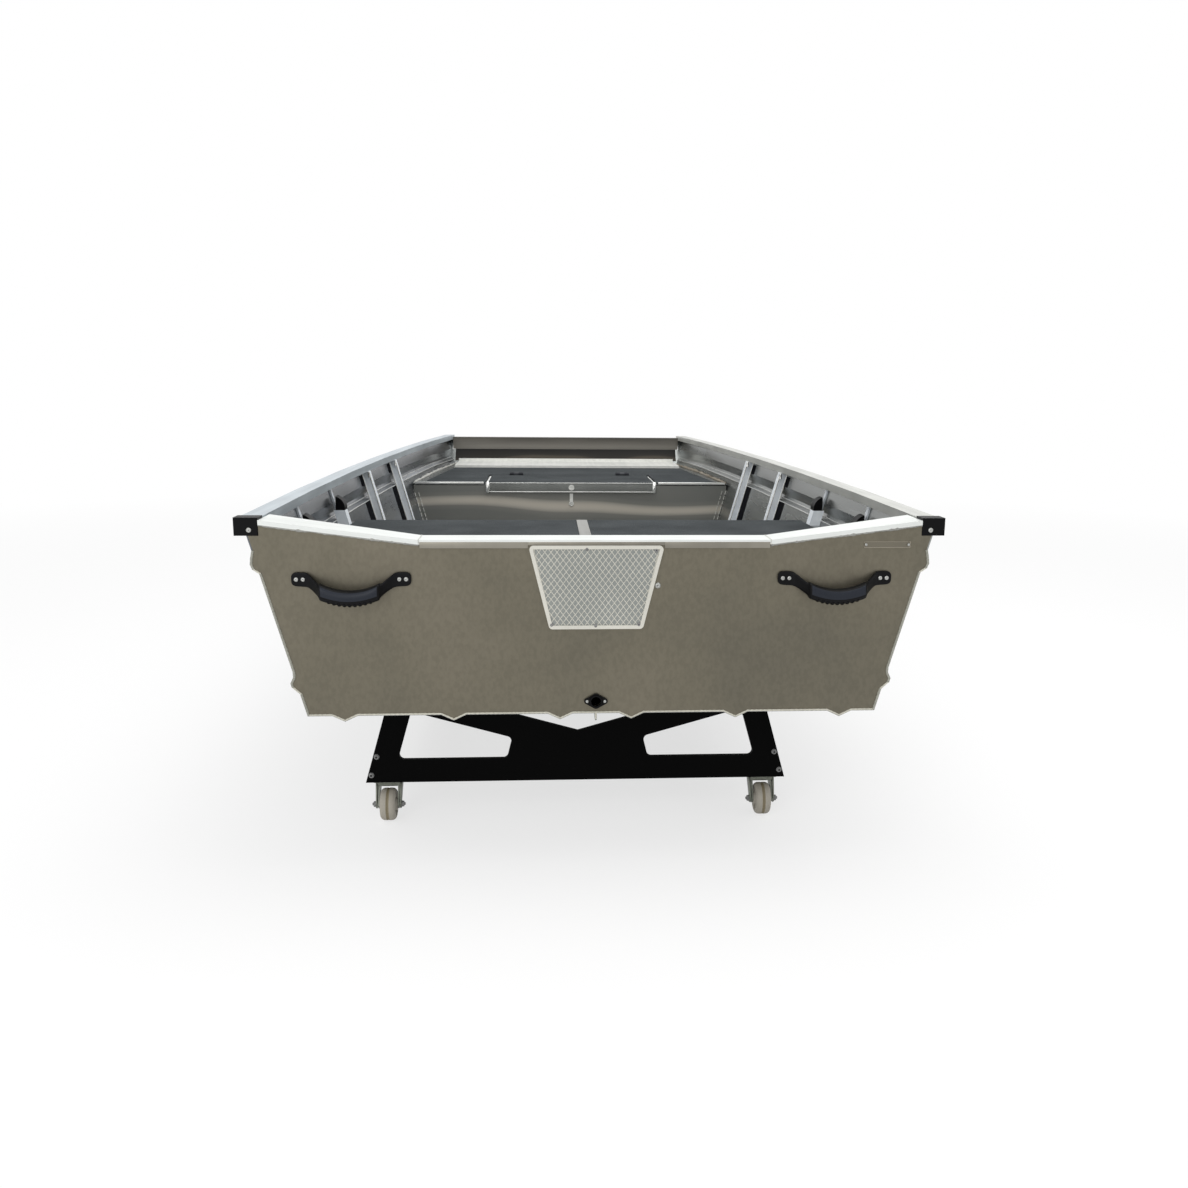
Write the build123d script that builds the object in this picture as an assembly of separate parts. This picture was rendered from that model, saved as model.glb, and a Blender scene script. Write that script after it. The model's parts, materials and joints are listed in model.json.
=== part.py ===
"""Flat-bottomed, square-bowed jon boat welded from aluminium sheet, on a two-plate castor dolly.

Millimetres, +X starboard, +Y towards the bow, +Z up. The origin is on the floor, below the middle
of the whole part. While modelling, y counts from the transom's outer face, and a "drop" is a
distance down from the gunwale's top. The last step shifts everything to the origin.
"""
import os
from math import cos, hypot, radians, sin, tan

from build123d import *

os.makedirs("parts", exist_ok=True)

# Hull, driving dimensions
length = 3520.0            # transom's outer face to the bow rail's outer face
beam = 1524.0              # over the gunwales at the transom
depth = 434.0              # gunwale's top to the flat bottom
flare_share = 0.2747       # sideways run of a side for each millimetre of its height
rake_share = 0.90          # forward run of the bow panel for each millimetre of its height
sheet = 3.0                # thickness of every welded sheet
hull_height = 351.0        # floor to the flat bottom
weld_gap = 0.2             # between pieces whose weld bead bridges a slight angle

# Plan and bottom line. Columns: distance from the transom as a share of the length, width over the
# gunwales as a share of the beam, rise of the bottom as a share of the depth.
station_shares = [
    (0.00, 1.000, 0.00),
    (0.03, 1.000, 0.00),
    (0.17, 1.008, 0.00),
    (0.34, 1.002, 0.00),
    (0.51, 0.980, 0.00),
    (0.68, 0.943, 0.00),
    (0.83, 0.898, 0.20),
    (1.00, 0.823, 0.58),
]

# Gunwale: a hollow extrusion that sits on the sheet's top edge, with a deeper lip outside the
# sheet. The bow rail is a plain rectangular tube of the same width, a little lower and taller.
gunwale_width = 46.0
gunwale_height = 36.0      # outer face, down to the lip's lower edge
gunwale_inner_height = 22.0
gunwale_lip = 16.0         # width of the lip below the inner part
gunwale_wall = 2.5
bow_rail_drop = 10.0
bow_rail_height = 60.0
gunwale_overhang = 13.3    # how far the side's line, carried up to the top, lies inside the rail

# Pressed strakes of a side. The upper one runs level below the gunwale. The lower one follows the
# chine and dies out at the bow: its drops are shares of the side's own height. Columns: drop, how
# far it stands proud.
upper_strake_drop = 68.0
upper_strake_height = 50.0
strake_proud = 13.0
upper_strake_shares = [(0.00, 0.00), (0.34, 0.62), (0.60, 1.00), (0.80, 0.90), (1.00, 0.00)]
lower_strake_shares = [(0.770, 0.00), (0.797, 0.22), (0.828, 1.00), (0.848, 1.00), (0.884, 0.00)]

# Pressed ridges of the bottom, and the keel strip
ridge_places = [-549.0, -313.0, -79.0, 79.0, 313.0, 549.0]
ridge_width = 55.0
ridge_depth = 13.0
ridge_edge = 6.0           # flat left beside the chine where the hull narrows
keel_width = 4.0
keel_depth = 16.0

# Transom: a dipped top for a short-shaft motor
dip_half = 380.0           # half width of the level middle
dip_drop = 45.0            # capping's top in the middle, below the gunwale's top
wing_drop = 3.0            # capping's top where it meets the corner caps
capping_depth = 72.0       # fore and aft, in the middle
capping_wing_depth = 105.0 # fore and aft, at the corners
capping_lip = 10.0

# Corner caps, moulded, over the aft ends of the gunwales
plastic = 2.5
corner_cap_length = 40.0

# Decks
aft_deck_drop = 133.0      # top of the aft deck's sheet
fore_deck_drop = 142.0     # top of the fore deck's sheet
carpet = 6.0
aft_carpet_margin = 30.0   # side sheet to the aft carpet
fore_carpet_margin = 48.0  # side sheet to the fore carpet's aft corners
aft_deck_end = 991.0
fore_deck_length = 1211.0  # bulkhead to the bow rail's outer face
nose_length = 427.0        # bare nose plate's aft edge to the bow rail's outer face
nose_step = 16.0           # the nose plate's top above the deck sheet
nose_lip = 14.0            # turned-up front edge of the nose plate
limber_width = 10.0        # notch in each upper corner of the fore bulkhead and its deck
limber_height = 25.0
nose_margin = 12.0         # nose plate's and deck sheet's front edges, short of the bow panel
nose_side_margin = 58.0    # side sheet to the nose plate and to the carpet's forward corners
strap_width = 32.0

# Storage hatch in the fore deck
hatch_width = 715.0
hatch_depth = 380.0
hatch_gap = 5.0
hatch_lip = 41.0
hatch_lip_radius = 14.0
seat_width = 18.0          # ledge under the lid's edges
seat_gap = 0.3
pin_radius = 4.0
knuckle_radius = 7.5
knuckle_length = 60.0
knuckle_gap = 0.4
leaf_length = 24.0
pin_clearance = 0.1
hinge_places = [-240.0, 240.0]
latch_radius = 12.0
latch_thickness = 4.0
hasp_width = 14.0
hasp_length = 44.0
hasp_thickness = 3.0

# Ribs and aft posts
rib_width = 40.0
rib_depth = 25.0
rib_shares = [0.37, 0.773]     # of the cockpit's length, from the aft deck
post_width = 40.0
post_depth = 32.0
post_places = [480.0, 920.0]
post_top_drop = 88.0
post_cap_radius = 40.0
fillet_bar = 5.0
fillet_bar_width = 20.0
floor_rib_height = 25.0

# Fittings on the transom
pad_top_half = 147.0
pad_bottom_half = 102.0
pad_top_drop = 57.0
pad_bottom_drop = 241.0
pad_thickness = 6.0
pad_rim = 8.0
pad_recess = 3.0
pad_corner = 9.0
handle_span = 252.0
handle_inset = 239.0       # handle's middle, in from the gunwale's outer face
handle_drop = 129.0
handle_foot_length = 37.0
handle_foot_height = 31.0
handle_foot_thickness = 7.0
handle_foot_corner = 9.0
handle_sag = 38.5          # middle of the grip, below the feet
handle_reach = 34.0        # grip's centre line, off the transom
arm_height = 27.0
arm_thickness_at_foot = 8.0
arm_end_height = 20.0
arm_end_thickness = 17.0
grip_length = 132.0
grip_sag = 17.0
grip_radius = 16.0
finger_count = 9
finger_pitch = 8.0
finger_radius = 3.6
arm_overlap = 5.0          # how far an arm starts inside its foot
drain_height = 29.0        # drain's centre above the flat bottom
drain_half_width = 26.0
drain_half_height = 17.0
drain_ear_radius = 6.0
drain_apex_radius = 8.0
drain_thickness = 6.0
drain_boss_radius = 14.0
drain_bore_radius = 11.0
plate_length = 110.0
plate_height = 15.0
plate_thickness = 1.5
plate_inset = 124.0        # plate's middle, in from the gunwale's outer face
plate_drop = 56.0
plate_tilt = 7.0           # degrees, the plate follows the wing of the capping

# Dolly, driving dimensions
dolly_offset = -33.0       # the dolly stands this far to port of the hull's centre line
plate_shares = [0.0694, 0.6611]    # the two cradle plates' places, of the hull's length
dolly_plate = 12.0
clearance_height = 107.0   # floor to the plates' lower edge
dolly_half = 517.0         # half width of the lower edge
leg_tilt = 16.0            # degrees, the legs lean inwards
leg_width = 60.0
beam_height = 58.0
notch_half = 418.0         # half width of the V where it meets the hull's bottom
notch_drop = 118.0         # the V's lowest point, below the hull's bottom
arm_thickness = 58.0
hub_half = 173.0           # half width of the solid middle at the lower edge
hub_lean = 13.0            # how much narrower the middle is at the arms
window_corner = 12.0
rail_thickness = 12.0      # a side rail leans with the legs
rail_height = 75.0
rail_inset = 2.0           # a rail's outer face, in from the plates' outer edge
bracket_width = 74.0       # castor bracket, from the rail towards the middle
bracket_length = 105.0
bracket_thickness = 6.0

# Castors
wheel_radius = 40.0
wheel_width = 34.0
tread_round = 11.0
hub_radius = 15.0
hub_width = 43.4
hub_gap = 0.3              # hub's end to the fork's cheek
axle_radius = 6.0
axle_head_radius = 9.0
axle_head = 6.0
axle_clearance = 0.1
fork_sheet = 4.0
fork_width = 36.0
castor_side_inset = 50.0   # a swivel, in from the plates' lower corner
castor_inset = 52.0        # from each cradle plate to its swivels, towards the dolly's middle
castor_trail = 28.0
race_radius = 26.0
race_height = 10.0
top_plate = 5.0
top_plate_length = 95.0
top_plate_width = 67.0
swivel_gap = 0.3
stub_radius = 8.0
stub_head_radius = 11.0
stub_head = 3.0

overrun = 20.0             # how far a cutting tool runs past what it cuts

sheer = hull_height + depth            # height of the gunwale's top
sheet_across = sheet * hypot(1.0, flare_share)
fore_deck_start = length - fore_deck_length
carpet_end = length - nose_length
cockpit_length = fore_deck_start - aft_deck_end
rib_places = [aft_deck_end + share * cockpit_length for share in rib_shares]
plate_places = [share * length for share in plate_shares]
leg_lean = tan(radians(leg_tilt))
castor_half = dolly_half - castor_side_inset
last = len(station_shares) - 1
nodes = {}


def keep(name, shape):
    nodes[name] = shape
    return shape


# Lines of the hull
def station_y(i, drop):
    """Place of a station along the hull; the last one leans with the bow panel."""
    lean = rake_share * drop if i == last else 0.0
    return station_shares[i][0] * length - lean


def station_depth(i):
    return depth * (1.0 - station_shares[i][2])


def gunwale_half(i):
    return station_shares[i][1] * beam / 2


def side_half(i, drop):
    """Half width to the outer face of the side sheet, without its strakes."""
    return gunwale_half(i) - gunwale_overhang - flare_share * drop


def between(y, points):
    """Linear value at y from (y, value) points."""
    for (y0, v0), (y1, v1) in zip(points, points[1:]):
        if y <= y1:
            break
    return v0 + (v1 - v0) * (y - y0) / (y1 - y0)


def inner_half(y, drop):
    """Half width inside the side sheet at any place along the hull."""
    points = [(station_y(i, drop), side_half(i, drop) - sheet_across) for i in range(last + 1)]
    return between(y, points)


def clear_half(y0, y1, drop):
    """Half width of what stands against the side sheet between two places."""
    return min(inner_half(y0, drop), inner_half(y1, drop)) - weld_gap


def rail_half_at(y):
    """Half width to the outer face of the gunwale."""
    return between(y, [(station_shares[i][0] * length, gunwale_half(i)) for i in range(last + 1)])


def plan_edge(drop, start, end, inset=0.0):
    """Starboard edge, in plan, of what fits between the side sheets at this drop."""
    places = [station_y(i, drop) for i in range(last + 1)]
    ys = [start] + [y for y in places if start < y < end] + [end]
    return [(inner_half(y, drop) - inset, y) for y in ys]


def polygon(points):
    return make_face(Polyline(*[Vector(*p) for p in points], close=True))


def slab(points, top, thickness):
    """A level plate from plan points, with its top at this height."""
    return extrude(polygon([(x, y, top - thickness) for x, y in points]), thickness, dir=(0, 0, 1))


def upright(points, y, thickness):
    """A plate across the hull from (x, z) points, from y forwards."""
    return extrude(polygon([(x, y, z) for x, z in points]), thickness, dir=(0, 1, 0))


def both_sides(half):
    """A closed outline from its starboard half, given from one end to the other."""
    return half + [(-x, y) for x, y in reversed(half)]


def block(x0, x1, y0, y1, z0, z1):
    return Pos((x0 + x1) / 2, (y0 + y1) / 2, (z0 + z1) / 2) * Box(x1 - x0, y1 - y0, z1 - z0)


def rod(radius, start, end):
    """A round bar from one point to another."""
    axis = Vector(*end) - Vector(*start)
    return extrude(Plane(start, z_dir=axis.normalized()) * Circle(radius), axis.length)


def mirrored(shape):
    return mirror(shape, about=Plane.YZ)


def handed(name, shape):
    """Keep a starboard piece and its port mirror image."""
    keep(name + "_starboard", shape)
    keep(name + "_port", mirrored(shape))


def group(pieces):
    """One node of separate solids."""
    return Compound(children=[solid for piece in pieces for solid in piece.solids()])


def pairs(pieces):
    """Starboard pieces together with their port mirror images."""
    return group(pieces + [mirrored(piece) for piece in pieces])


# Hull shell
def side_points(i):
    """Drop and proud height down the outer face of a side sheet."""
    own = station_depth(i)
    upper = [(upper_strake_drop + s * upper_strake_height, p * strake_proud)
             for s, p in upper_strake_shares]
    fade = 0.0 if i == last else strake_proud
    lower = [(s * own, p * fade) for s, p in lower_strake_shares]
    return [(gunwale_inner_height, 0.0)] + upper + lower + [(own - sheet, 0.0)]


def side_section(i):
    outer = [(side_half(i, d) + p, station_y(i, d), sheer - d) for d, p in side_points(i)]
    inner = [(x - sheet_across, y, z) for x, y, z in outer]
    return polygon(outer + inner[::-1])


def bottom_points(i):
    """Half width and drop along the lower face of the bottom sheet, port to starboard."""
    own = station_depth(i)
    chine = side_half(i, own)
    points = [(-chine, own)]
    limit = chine - ridge_width / 2 - ridge_edge
    for place in ridge_places:
        x = max(-limit, min(limit, place))
        points += [(x - ridge_width / 2, own), (x, own + ridge_depth), (x + ridge_width / 2, own)]
    return points + [(chine, own)]


def bottom_section(i):
    lower = bottom_points(i)
    upper = [(x, d - sheet) for x, d in lower]
    edge = side_half(i, station_depth(i) - sheet)
    upper[0] = (-edge, upper[0][1])
    upper[-1] = (edge, upper[-1][1])
    return polygon([(x, station_y(i, d), sheer - d) for x, d in lower + upper[::-1]])


def hull_loft(section):
    return loft([section(i) for i in range(last + 1)], ruled=True)


def gunwale():
    """Starboard gunwale: the extrusion along the sheer."""
    def section(i, wall):
        y = station_shares[i][0] * length
        outer = gunwale_half(i) - wall
        lip = gunwale_half(i) - gunwale_lip + wall
        inner = gunwale_half(i) - gunwale_width + wall
        top = sheer - wall
        step = sheer - gunwale_inner_height + wall
        foot = sheer - gunwale_height + wall
        return polygon([(outer, y, top), (outer, y, foot), (lip, y, foot), (lip, y, step),
                        (inner, y, step), (inner, y, top)])
    skin = loft([section(i, 0.0) for i in range(last + 1)], ruled=True)
    core = loft([section(i, gunwale_wall) for i in range(last + 1)], ruled=True)
    return skin - core


def bow_rail():
    """Rectangular tube across the bow, cut to the taper of the gunwales."""
    def profile(wall):
        ys = [length - wall, length - gunwale_width + wall]
        plan = both_sides([(rail_half_at(y) - gunwale_width, y) for y in ys])
        return slab(plan, sheer - bow_rail_drop - wall, bow_rail_height - 2 * wall)
    return profile(0.0) - profile(gunwale_wall)


def bow_panel():
    """Raked panel between the side sheets, below the bow rail and up beside its ends."""
    step = rail_half_at(length - gunwale_width) - gunwale_width + weld_gap
    rail_foot = bow_rail_drop + bow_rail_height
    half = [(step, rail_foot), (step, gunwale_inner_height)]
    half += [(side_half(last, d) + p - sheet_across, d) for d, p in side_points(last)]
    floor = [(x, d - sheet) for x, d in bottom_points(last)[1:-1]]
    outline = half + floor[::-1] + [(-x, d) for x, d in half[::-1]]
    face = polygon([(x, station_y(last, d), sheer - d) for x, d in outline])
    return extrude(face, sheet * hypot(1.0, rake_share), dir=(0, -1, 0))


def transom_top():
    """Starboard half of the line under the capping, from the gunwale to the centre."""
    edge = beam / 2 - gunwale_width - plastic
    return [(edge, sheer - wing_drop - sheet), (dip_half, sheer - dip_drop - sheet)]


def transom_sheet():
    half = [(side_half(0, d) + p - sheet_across, sheer - d) for d, p in side_points(0)]
    step = [(beam / 2 - gunwale_width - plastic, sheer - gunwale_inner_height)]
    floor = [(x, sheer - d + sheet) for x, d in bottom_points(0)[1:-1]]
    starboard = transom_top()[::-1] + step + half
    port = [(-x, z) for x, z in starboard[::-1]]
    return upright(starboard + floor[::-1] + port, 0.0, sheet)


def transom_inner():
    """Inner face of the box transom, from the aft deck to the capping."""
    y = capping_depth - 2 * sheet
    foot = [(inner_half(y, d), sheer - d) for d in (gunwale_inner_height, aft_deck_drop)]
    step = [(beam / 2 - gunwale_width - plastic, sheer - gunwale_inner_height)]
    return upright(both_sides(transom_top()[::-1] + step + foot), y, sheet)


def transom_cap():
    """Bright capping: an upside-down channel that follows the dip."""
    edge = beam / 2 - gunwale_width - plastic

    def band(top, foot):
        line = [(edge, sheer - wing_drop), (dip_half, sheer - dip_drop)]
        line = line + [(-x, z) for x, z in line[::-1]]
        points = [(x, z - top) for x, z in line] + [(x, z - foot) for x, z in line[::-1]]
        return upright(points, -overrun, capping_wing_depth + 2 * overrun)

    def plan(inset):
        half = [(edge + overrun, inset - sheet), (edge + overrun, capping_wing_depth - inset),
                (dip_half, capping_depth - inset)]
        return slab(both_sides(half), sheer + overrun, depth)

    body = band(0.0, capping_lip) & plan(0.0)
    core = band(sheet, capping_lip + overrun) & plan(sheet)
    return body - core


def corner_cap():
    """Moulded cap over the aft end of the starboard gunwale, with a full rectangular face."""
    outer = beam / 2 + plastic
    lip = beam / 2 - gunwale_lip
    inner = beam / 2 - gunwale_width - plastic
    top = sheer + plastic
    step = sheer - gunwale_inner_height
    foot = sheer - gunwale_height
    outline = [(inner, top), (outer, top), (outer, foot), (lip, foot), (lip, step), (inner, step)]
    sleeve = upright(outline, 0.0, corner_cap_length)
    sleeve -= block(inner + plastic, outer - plastic, -overrun, corner_cap_length + overrun,
                    foot - overrun, sheer)
    face = block(inner, outer, -plastic, 0.0, foot, top)
    aft_edges = face.edges().filter_by(Axis.Z).group_by(Axis.Y)[0]
    return fillet(aft_edges, plastic * 0.9) + sleeve


def keel_strip():
    """Flat bar on edge under the centre line."""
    top = [(station_y(i, station_depth(i)), sheer - station_depth(i)) for i in range(last + 1)]
    foot = [(y - keel_depth * (y == top[-1][0]), z - keel_depth) for y, z in top]
    outline = polygon([(0, y, z) for y, z in top + foot[::-1]])
    return extrude(outline, keel_width / 2, both=True)


# Ribs
def rib(place, top_drop, foot_drop, across, reach):
    """Channel that stands against the starboard side sheet, open towards it."""
    y0 = place - across / 2
    y1 = place + across / 2
    back = [(clear_half(y0, y1, d), sheer - d) for d in (top_drop, foot_drop)]
    front = [(x - reach, z) for x, z in back]
    body = upright(back + front[::-1], y0, across)
    ends = [(clear_half(y0, y1, d), sheer - d) for d in (top_drop - overrun, foot_drop + overrun)]
    core = [(x + overrun, z) for x, z in ends] + [(x - reach + sheet, z) for x, z in ends[::-1]]
    return body - upright(core, y0 + sheet, across - 2 * sheet)


def ribs():
    return [rib(y, gunwale_inner_height, depth - sheet, rib_width, rib_depth) for y in rib_places]


def floor_rib(place):
    """Channel across the floor, open downwards, between the feet of two side ribs."""
    y0 = place - rib_width / 2
    y1 = place + rib_width / 2
    drops = (depth - sheet - floor_rib_height, depth - sheet)
    half = [(clear_half(y0, y1, d) - rib_depth, sheer - d) for d in drops]
    body = upright(both_sides(half), y0, rib_width)
    z = sheer - depth + sheet
    return body - block(-beam, beam, y0 + sheet, y1 - sheet, z - overrun,
                        z + floor_rib_height - sheet)


def posts():
    """Short channels on the aft deck, each with a flat bar up to the gunwale."""
    pieces = []
    for y in post_places:
        pieces.append(rib(y, post_top_drop, aft_deck_drop, post_width, post_depth))
        end = y + post_width / 2
        bar = [(clear_half(end - fillet_bar_width, end, d), sheer - d)
               for d in (gunwale_inner_height, post_top_drop)]
        outline = bar + [(x - fillet_bar, z) for x, z in bar[::-1]]
        pieces.append(upright(outline, end - fillet_bar_width, fillet_bar_width))
    return pieces


def post_cap(place):
    """Quarter-round moulded end on top of a post."""
    y0 = place - post_width / 2
    corner = clear_half(y0, y0 + post_width, post_top_drop) - fillet_bar - plastic / 2
    reach = post_depth - fillet_bar - plastic / 2
    z = sheer - post_top_drop
    middle = (-reach * cos(radians(45)), post_cap_radius * sin(radians(45)))
    arc = ThreePointArc((-reach, 0), middle, (0, post_cap_radius))
    lines = Polyline(arc @ 1, (0, 0), arc @ 0)
    face = make_face(arc + lines)
    lift = Plane(origin=(corner, y0, z), x_dir=(1, 0, 0), z_dir=(0, -1, 0))
    return extrude(lift * face, -post_width)


# Decks and bulkheads
def aft_deck():
    half = plan_edge(aft_deck_drop + sheet, sheet, aft_deck_end)
    return slab(both_sides(half), sheer - aft_deck_drop, sheet)


def bulkhead(y, top_drop):
    """Upright sheet between the sides, with its forward face at y."""
    drops = (top_drop, depth - sheet)
    half = [(inner_half(y, d), sheer - d) for d in drops]
    return upright(both_sides(half), y - sheet, sheet)


def limber_notches():
    """Clear space for the notches at the upper corners of the fore bulkhead."""
    edge = inner_half(fore_deck_start, fore_deck_drop)
    notch = block(edge - limber_width, beam, fore_deck_start - overrun,
                  fore_deck_start + sheet + limber_width, sheer - fore_deck_drop - limber_height,
                  sheer - fore_deck_drop + overrun)
    return notch + mirrored(notch)


def aft_carpet():
    """Starboard carpet panel of the aft deck."""
    start = capping_depth
    outer = plan_edge(aft_deck_drop, start, aft_deck_end, aft_carpet_margin + post_depth - rib_depth)
    inner = [(strap_width / 2, aft_deck_end), (strap_width / 2, start)]
    return slab(outer + inner, sheer - aft_deck_drop + carpet, carpet)


def hatch_hole(gap, lift):
    """Clear space for the lid, from the deck's aft edge forwards."""
    half = hatch_width / 2 + gap
    end = fore_deck_start + hatch_depth + gap
    return block(-half, half, fore_deck_start - overrun - hatch_lip, end,
                 sheer - fore_deck_drop - lift, sheer)


def fore_deck():
    """Deck sheet with the hatch cut from its aft edge, and the ledge under the lid."""
    end = length - rake_share * (fore_deck_drop + sheet) - nose_margin
    half = plan_edge(fore_deck_drop + sheet, fore_deck_start, end)
    plate = slab(both_sides(half), sheer - fore_deck_drop, sheet) - hatch_hole(hatch_gap, overrun)
    inner = hatch_width / 2 - seat_width
    outer = hatch_width / 2 + hatch_gap + seat_width
    fore = fore_deck_start + hatch_depth
    top = sheer - fore_deck_drop - sheet
    aft = fore_deck_start + sheet
    ledge = block(-outer, outer, aft, fore + seat_width + hatch_gap, top - sheet, top)
    ledge -= block(-inner, inner, aft + seat_width, fore - seat_width, top - overrun, top + overrun)
    return plate + ledge - limber_notches()


def fore_carpet():
    half = [(inner_half(fore_deck_start, fore_deck_drop) - fore_carpet_margin, fore_deck_start),
            (inner_half(carpet_end, fore_deck_drop) - nose_side_margin, carpet_end)]
    body = slab(both_sides(half), sheer - fore_deck_drop + carpet, carpet)
    body = body - hatch_hole(hatch_gap, overrun)
    for x in hinge_places:
        body -= hinge_pocket(x)
    return body


def nose_plate():
    """Bare plate at the bow, with its aft edge turned down and its front edge turned up."""
    top = sheer - fore_deck_drop + nose_step
    end = length - rake_share * fore_deck_drop - nose_margin
    half = inner_half(carpet_end, fore_deck_drop) - nose_side_margin
    plate = block(-half, half, carpet_end, end, top - sheet, top)
    plate += block(-half, half, end - sheet, end, top, top + nose_lip)
    return plate + block(-half, half, carpet_end, carpet_end + sheet, sheer - fore_deck_drop, top)


# Hatch
lid_top = sheer - fore_deck_drop + carpet
hinge_y = fore_deck_start + hatch_depth + hatch_gap / 2
hinge_z = lid_top + pin_radius


def hinge_pocket(x):
    """Room in the carpet for one hinge's fixed leaf."""
    half = knuckle_length / 2 + knuckle_gap
    return block(x - half, x + half, hinge_y - overrun, hinge_y + leaf_length + knuckle_gap,
                 sheer - fore_deck_drop, sheer)


def lid():
    """Lid panel with carpet, a turned-down aft lip with round ends, and its hinge knuckles."""
    half = hatch_width / 2
    aft = fore_deck_start - hatch_gap - sheet
    fore = fore_deck_start + hatch_depth
    under = sheer - fore_deck_drop - sheet + seat_gap
    plate = block(-half, half, aft, fore, under, under + sheet)
    lip = block(-half, half, aft, aft + sheet, lid_top - hatch_lip, under + sheet)
    corners = lip.edges().filter_by(Axis.Y).sort_by(Axis.Z)[:2]
    lip = fillet(corners, hatch_lip_radius)
    return plate + lip


def lid_panel():
    """The carpeted panel of the lid."""
    half = hatch_width / 2 - strap_width / 4
    under = sheer - fore_deck_drop + seat_gap
    aft = fore_deck_start - hatch_gap
    body = block(-half, half, aft, fore_deck_start + hatch_depth, under, lid_top)
    pocket = knuckle_length / 2 + knuckle_gap
    for x in hinge_places:
        body -= block(x - pocket, x + pocket, hinge_y - leaf_length - knuckle_gap, hinge_y,
                      under - overrun, lid_top + overrun)
    return body


def hinge_leaf(x0, x1, way, foot):
    """A knuckle on the hinge line, with its leaf forwards (way 1) or aft (way -1) at this height."""
    low, high = sorted((hinge_y, hinge_y + way * leaf_length))
    near, far = sorted((hinge_y, hinge_y + way * knuckle_radius))
    leaf = block(x0, x1, low, high, foot, foot + sheet)
    web = block(x0, x1, near, far, foot, hinge_z)
    return leaf + web + rod(knuckle_radius, (x0, hinge_y, hinge_z), (x1, hinge_y, hinge_z))


def fixed_hinge(x):
    """Outer knuckles and pin of one hinge, on the fore deck."""
    near = knuckle_length / 6
    far = knuckle_length / 2
    body = rod(pin_radius, (x - far, hinge_y, hinge_z), (x + far, hinge_y, hinge_z))
    for x0, x1 in ((x - far, x - near - knuckle_gap), (x + near + knuckle_gap, x + far)):
        body += hinge_leaf(x0, x1, 1, sheer - fore_deck_drop)
    return body


def lid_hinge(x):
    """Middle knuckle of one hinge, on the lid's sheet, bored for the pin."""
    near = knuckle_length / 6
    bore = rod(pin_radius + pin_clearance, (x - knuckle_length / 2, hinge_y, hinge_z),
               (x + knuckle_length / 2, hinge_y, hinge_z))
    return hinge_leaf(x - near, x + near, -1, sheer - fore_deck_drop + seat_gap) - bore


def latch():
    """Round ring latch on the lid's lip."""
    y = fore_deck_start - hatch_gap - sheet
    z = lid_top - hatch_lip / 2
    ring = rod(latch_radius, (0, y, z), (0, y - latch_thickness, z))
    hole = rod(latch_radius * 0.45, (0, y - latch_thickness / 2, z), (0, y - overrun, z))
    return ring - hole


def hasp():
    """Staple plate for the latch, on the bulkhead below the lid's lip."""
    top = lid_top - hatch_lip - hatch_gap
    y = fore_deck_start
    plate = block(-hasp_width / 2, hasp_width / 2, y - hasp_thickness, y, top - hasp_length, top)
    eye = rod(hasp_width / 2, (0, y - hasp_thickness, top - hasp_length + hasp_width),
              (0, y - 2 * hasp_thickness, top - hasp_length + hasp_width))
    return plate + eye


# Fittings
def rub_plate():
    """Pad for the motor's clamp: a raised rim round a recessed field."""
    outline = both_sides([(pad_bottom_half, sheer - pad_bottom_drop),
                          (pad_top_half, sheer - pad_top_drop)])
    face = polygon([(x, 0.0, z) for x, z in outline])
    face = fillet(face.vertices(), pad_corner)
    body = extrude(face, pad_thickness, dir=(0, -1, 0))
    field = offset(face, -pad_rim, kind=Kind.INTERSECTION)
    field = Pos(0, -pad_thickness + pad_recess, 0) * field
    return body - extrude(field, overrun, dir=(0, -1, 0))


def handle():
    """Grab handle: two feet, flat arms, and a thick sagging grip with finger ridges below."""
    foot_x = handle_span / 2 - handle_foot_length / 2
    end_low = grip_sag - handle_sag
    path = ThreePointArc((-grip_length / 2, -handle_reach, end_low), (0, -handle_reach, -handle_sag),
                         (grip_length / 2, -handle_reach, end_low))
    grip = sweep(Plane(path @ 0, z_dir=path % 0) * Circle(grip_radius), path=path)
    grip = fillet(grip.edges().filter_by(GeomType.CIRCLE).group_by(SortBy.RADIUS)[0], grip_radius / 2)
    body = grip - finger_grooves()
    front = Plane((0, 0, 0), x_dir=(1, 0, 0), z_dir=(0, -1, 0))
    for side in (-1, 1):
        foot = RectangleRounded(handle_foot_length, handle_foot_height, handle_foot_corner)
        body += extrude(front * Pos(side * foot_x, 0, 0) * foot, handle_foot_thickness)
        inner_end = foot_x - handle_foot_length / 2 + arm_overlap
        start = Vector(side * inner_end, -handle_foot_thickness / 2, 0)
        end = Vector(side * grip_length / 2, -handle_reach, end_low)
        along = (end - start).normalized()
        near = Plane(start, x_dir=along.cross(Vector(0, 0, 1)), z_dir=along)
        far = Plane(end, x_dir=near.x_dir, z_dir=along)
        arm = loft([near * RectangleRounded(arm_thickness_at_foot, arm_height, arm_thickness_at_foot / 3),
                    far * RectangleRounded(arm_end_thickness, arm_end_height, arm_end_thickness / 3)],
                   ruled=True)
        body += arm
    body -= block(-handle_span, handle_span, 0, handle_reach, -handle_span, handle_span)
    return Pos(beam / 2 - handle_inset, 0, sheer - handle_drop) * body


def finger_grooves():
    """Cutters across the lower side of the grip, evenly spaced along its arc."""
    half = grip_length / 2
    arc_radius = (half ** 2 + grip_sag ** 2) / (2 * grip_sag)
    reach = arc_radius + grip_radius
    cutters = []
    for i in range(finger_count):
        angle = (i - (finger_count - 1) / 2) * finger_pitch / reach
        x = reach * sin(angle)
        z = arc_radius - handle_sag - reach * cos(angle)
        cutters.append(rod(finger_radius, (x, -handle_reach - grip_radius, z), (x, 0, z)))
    return Compound(children=cutters)


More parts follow.
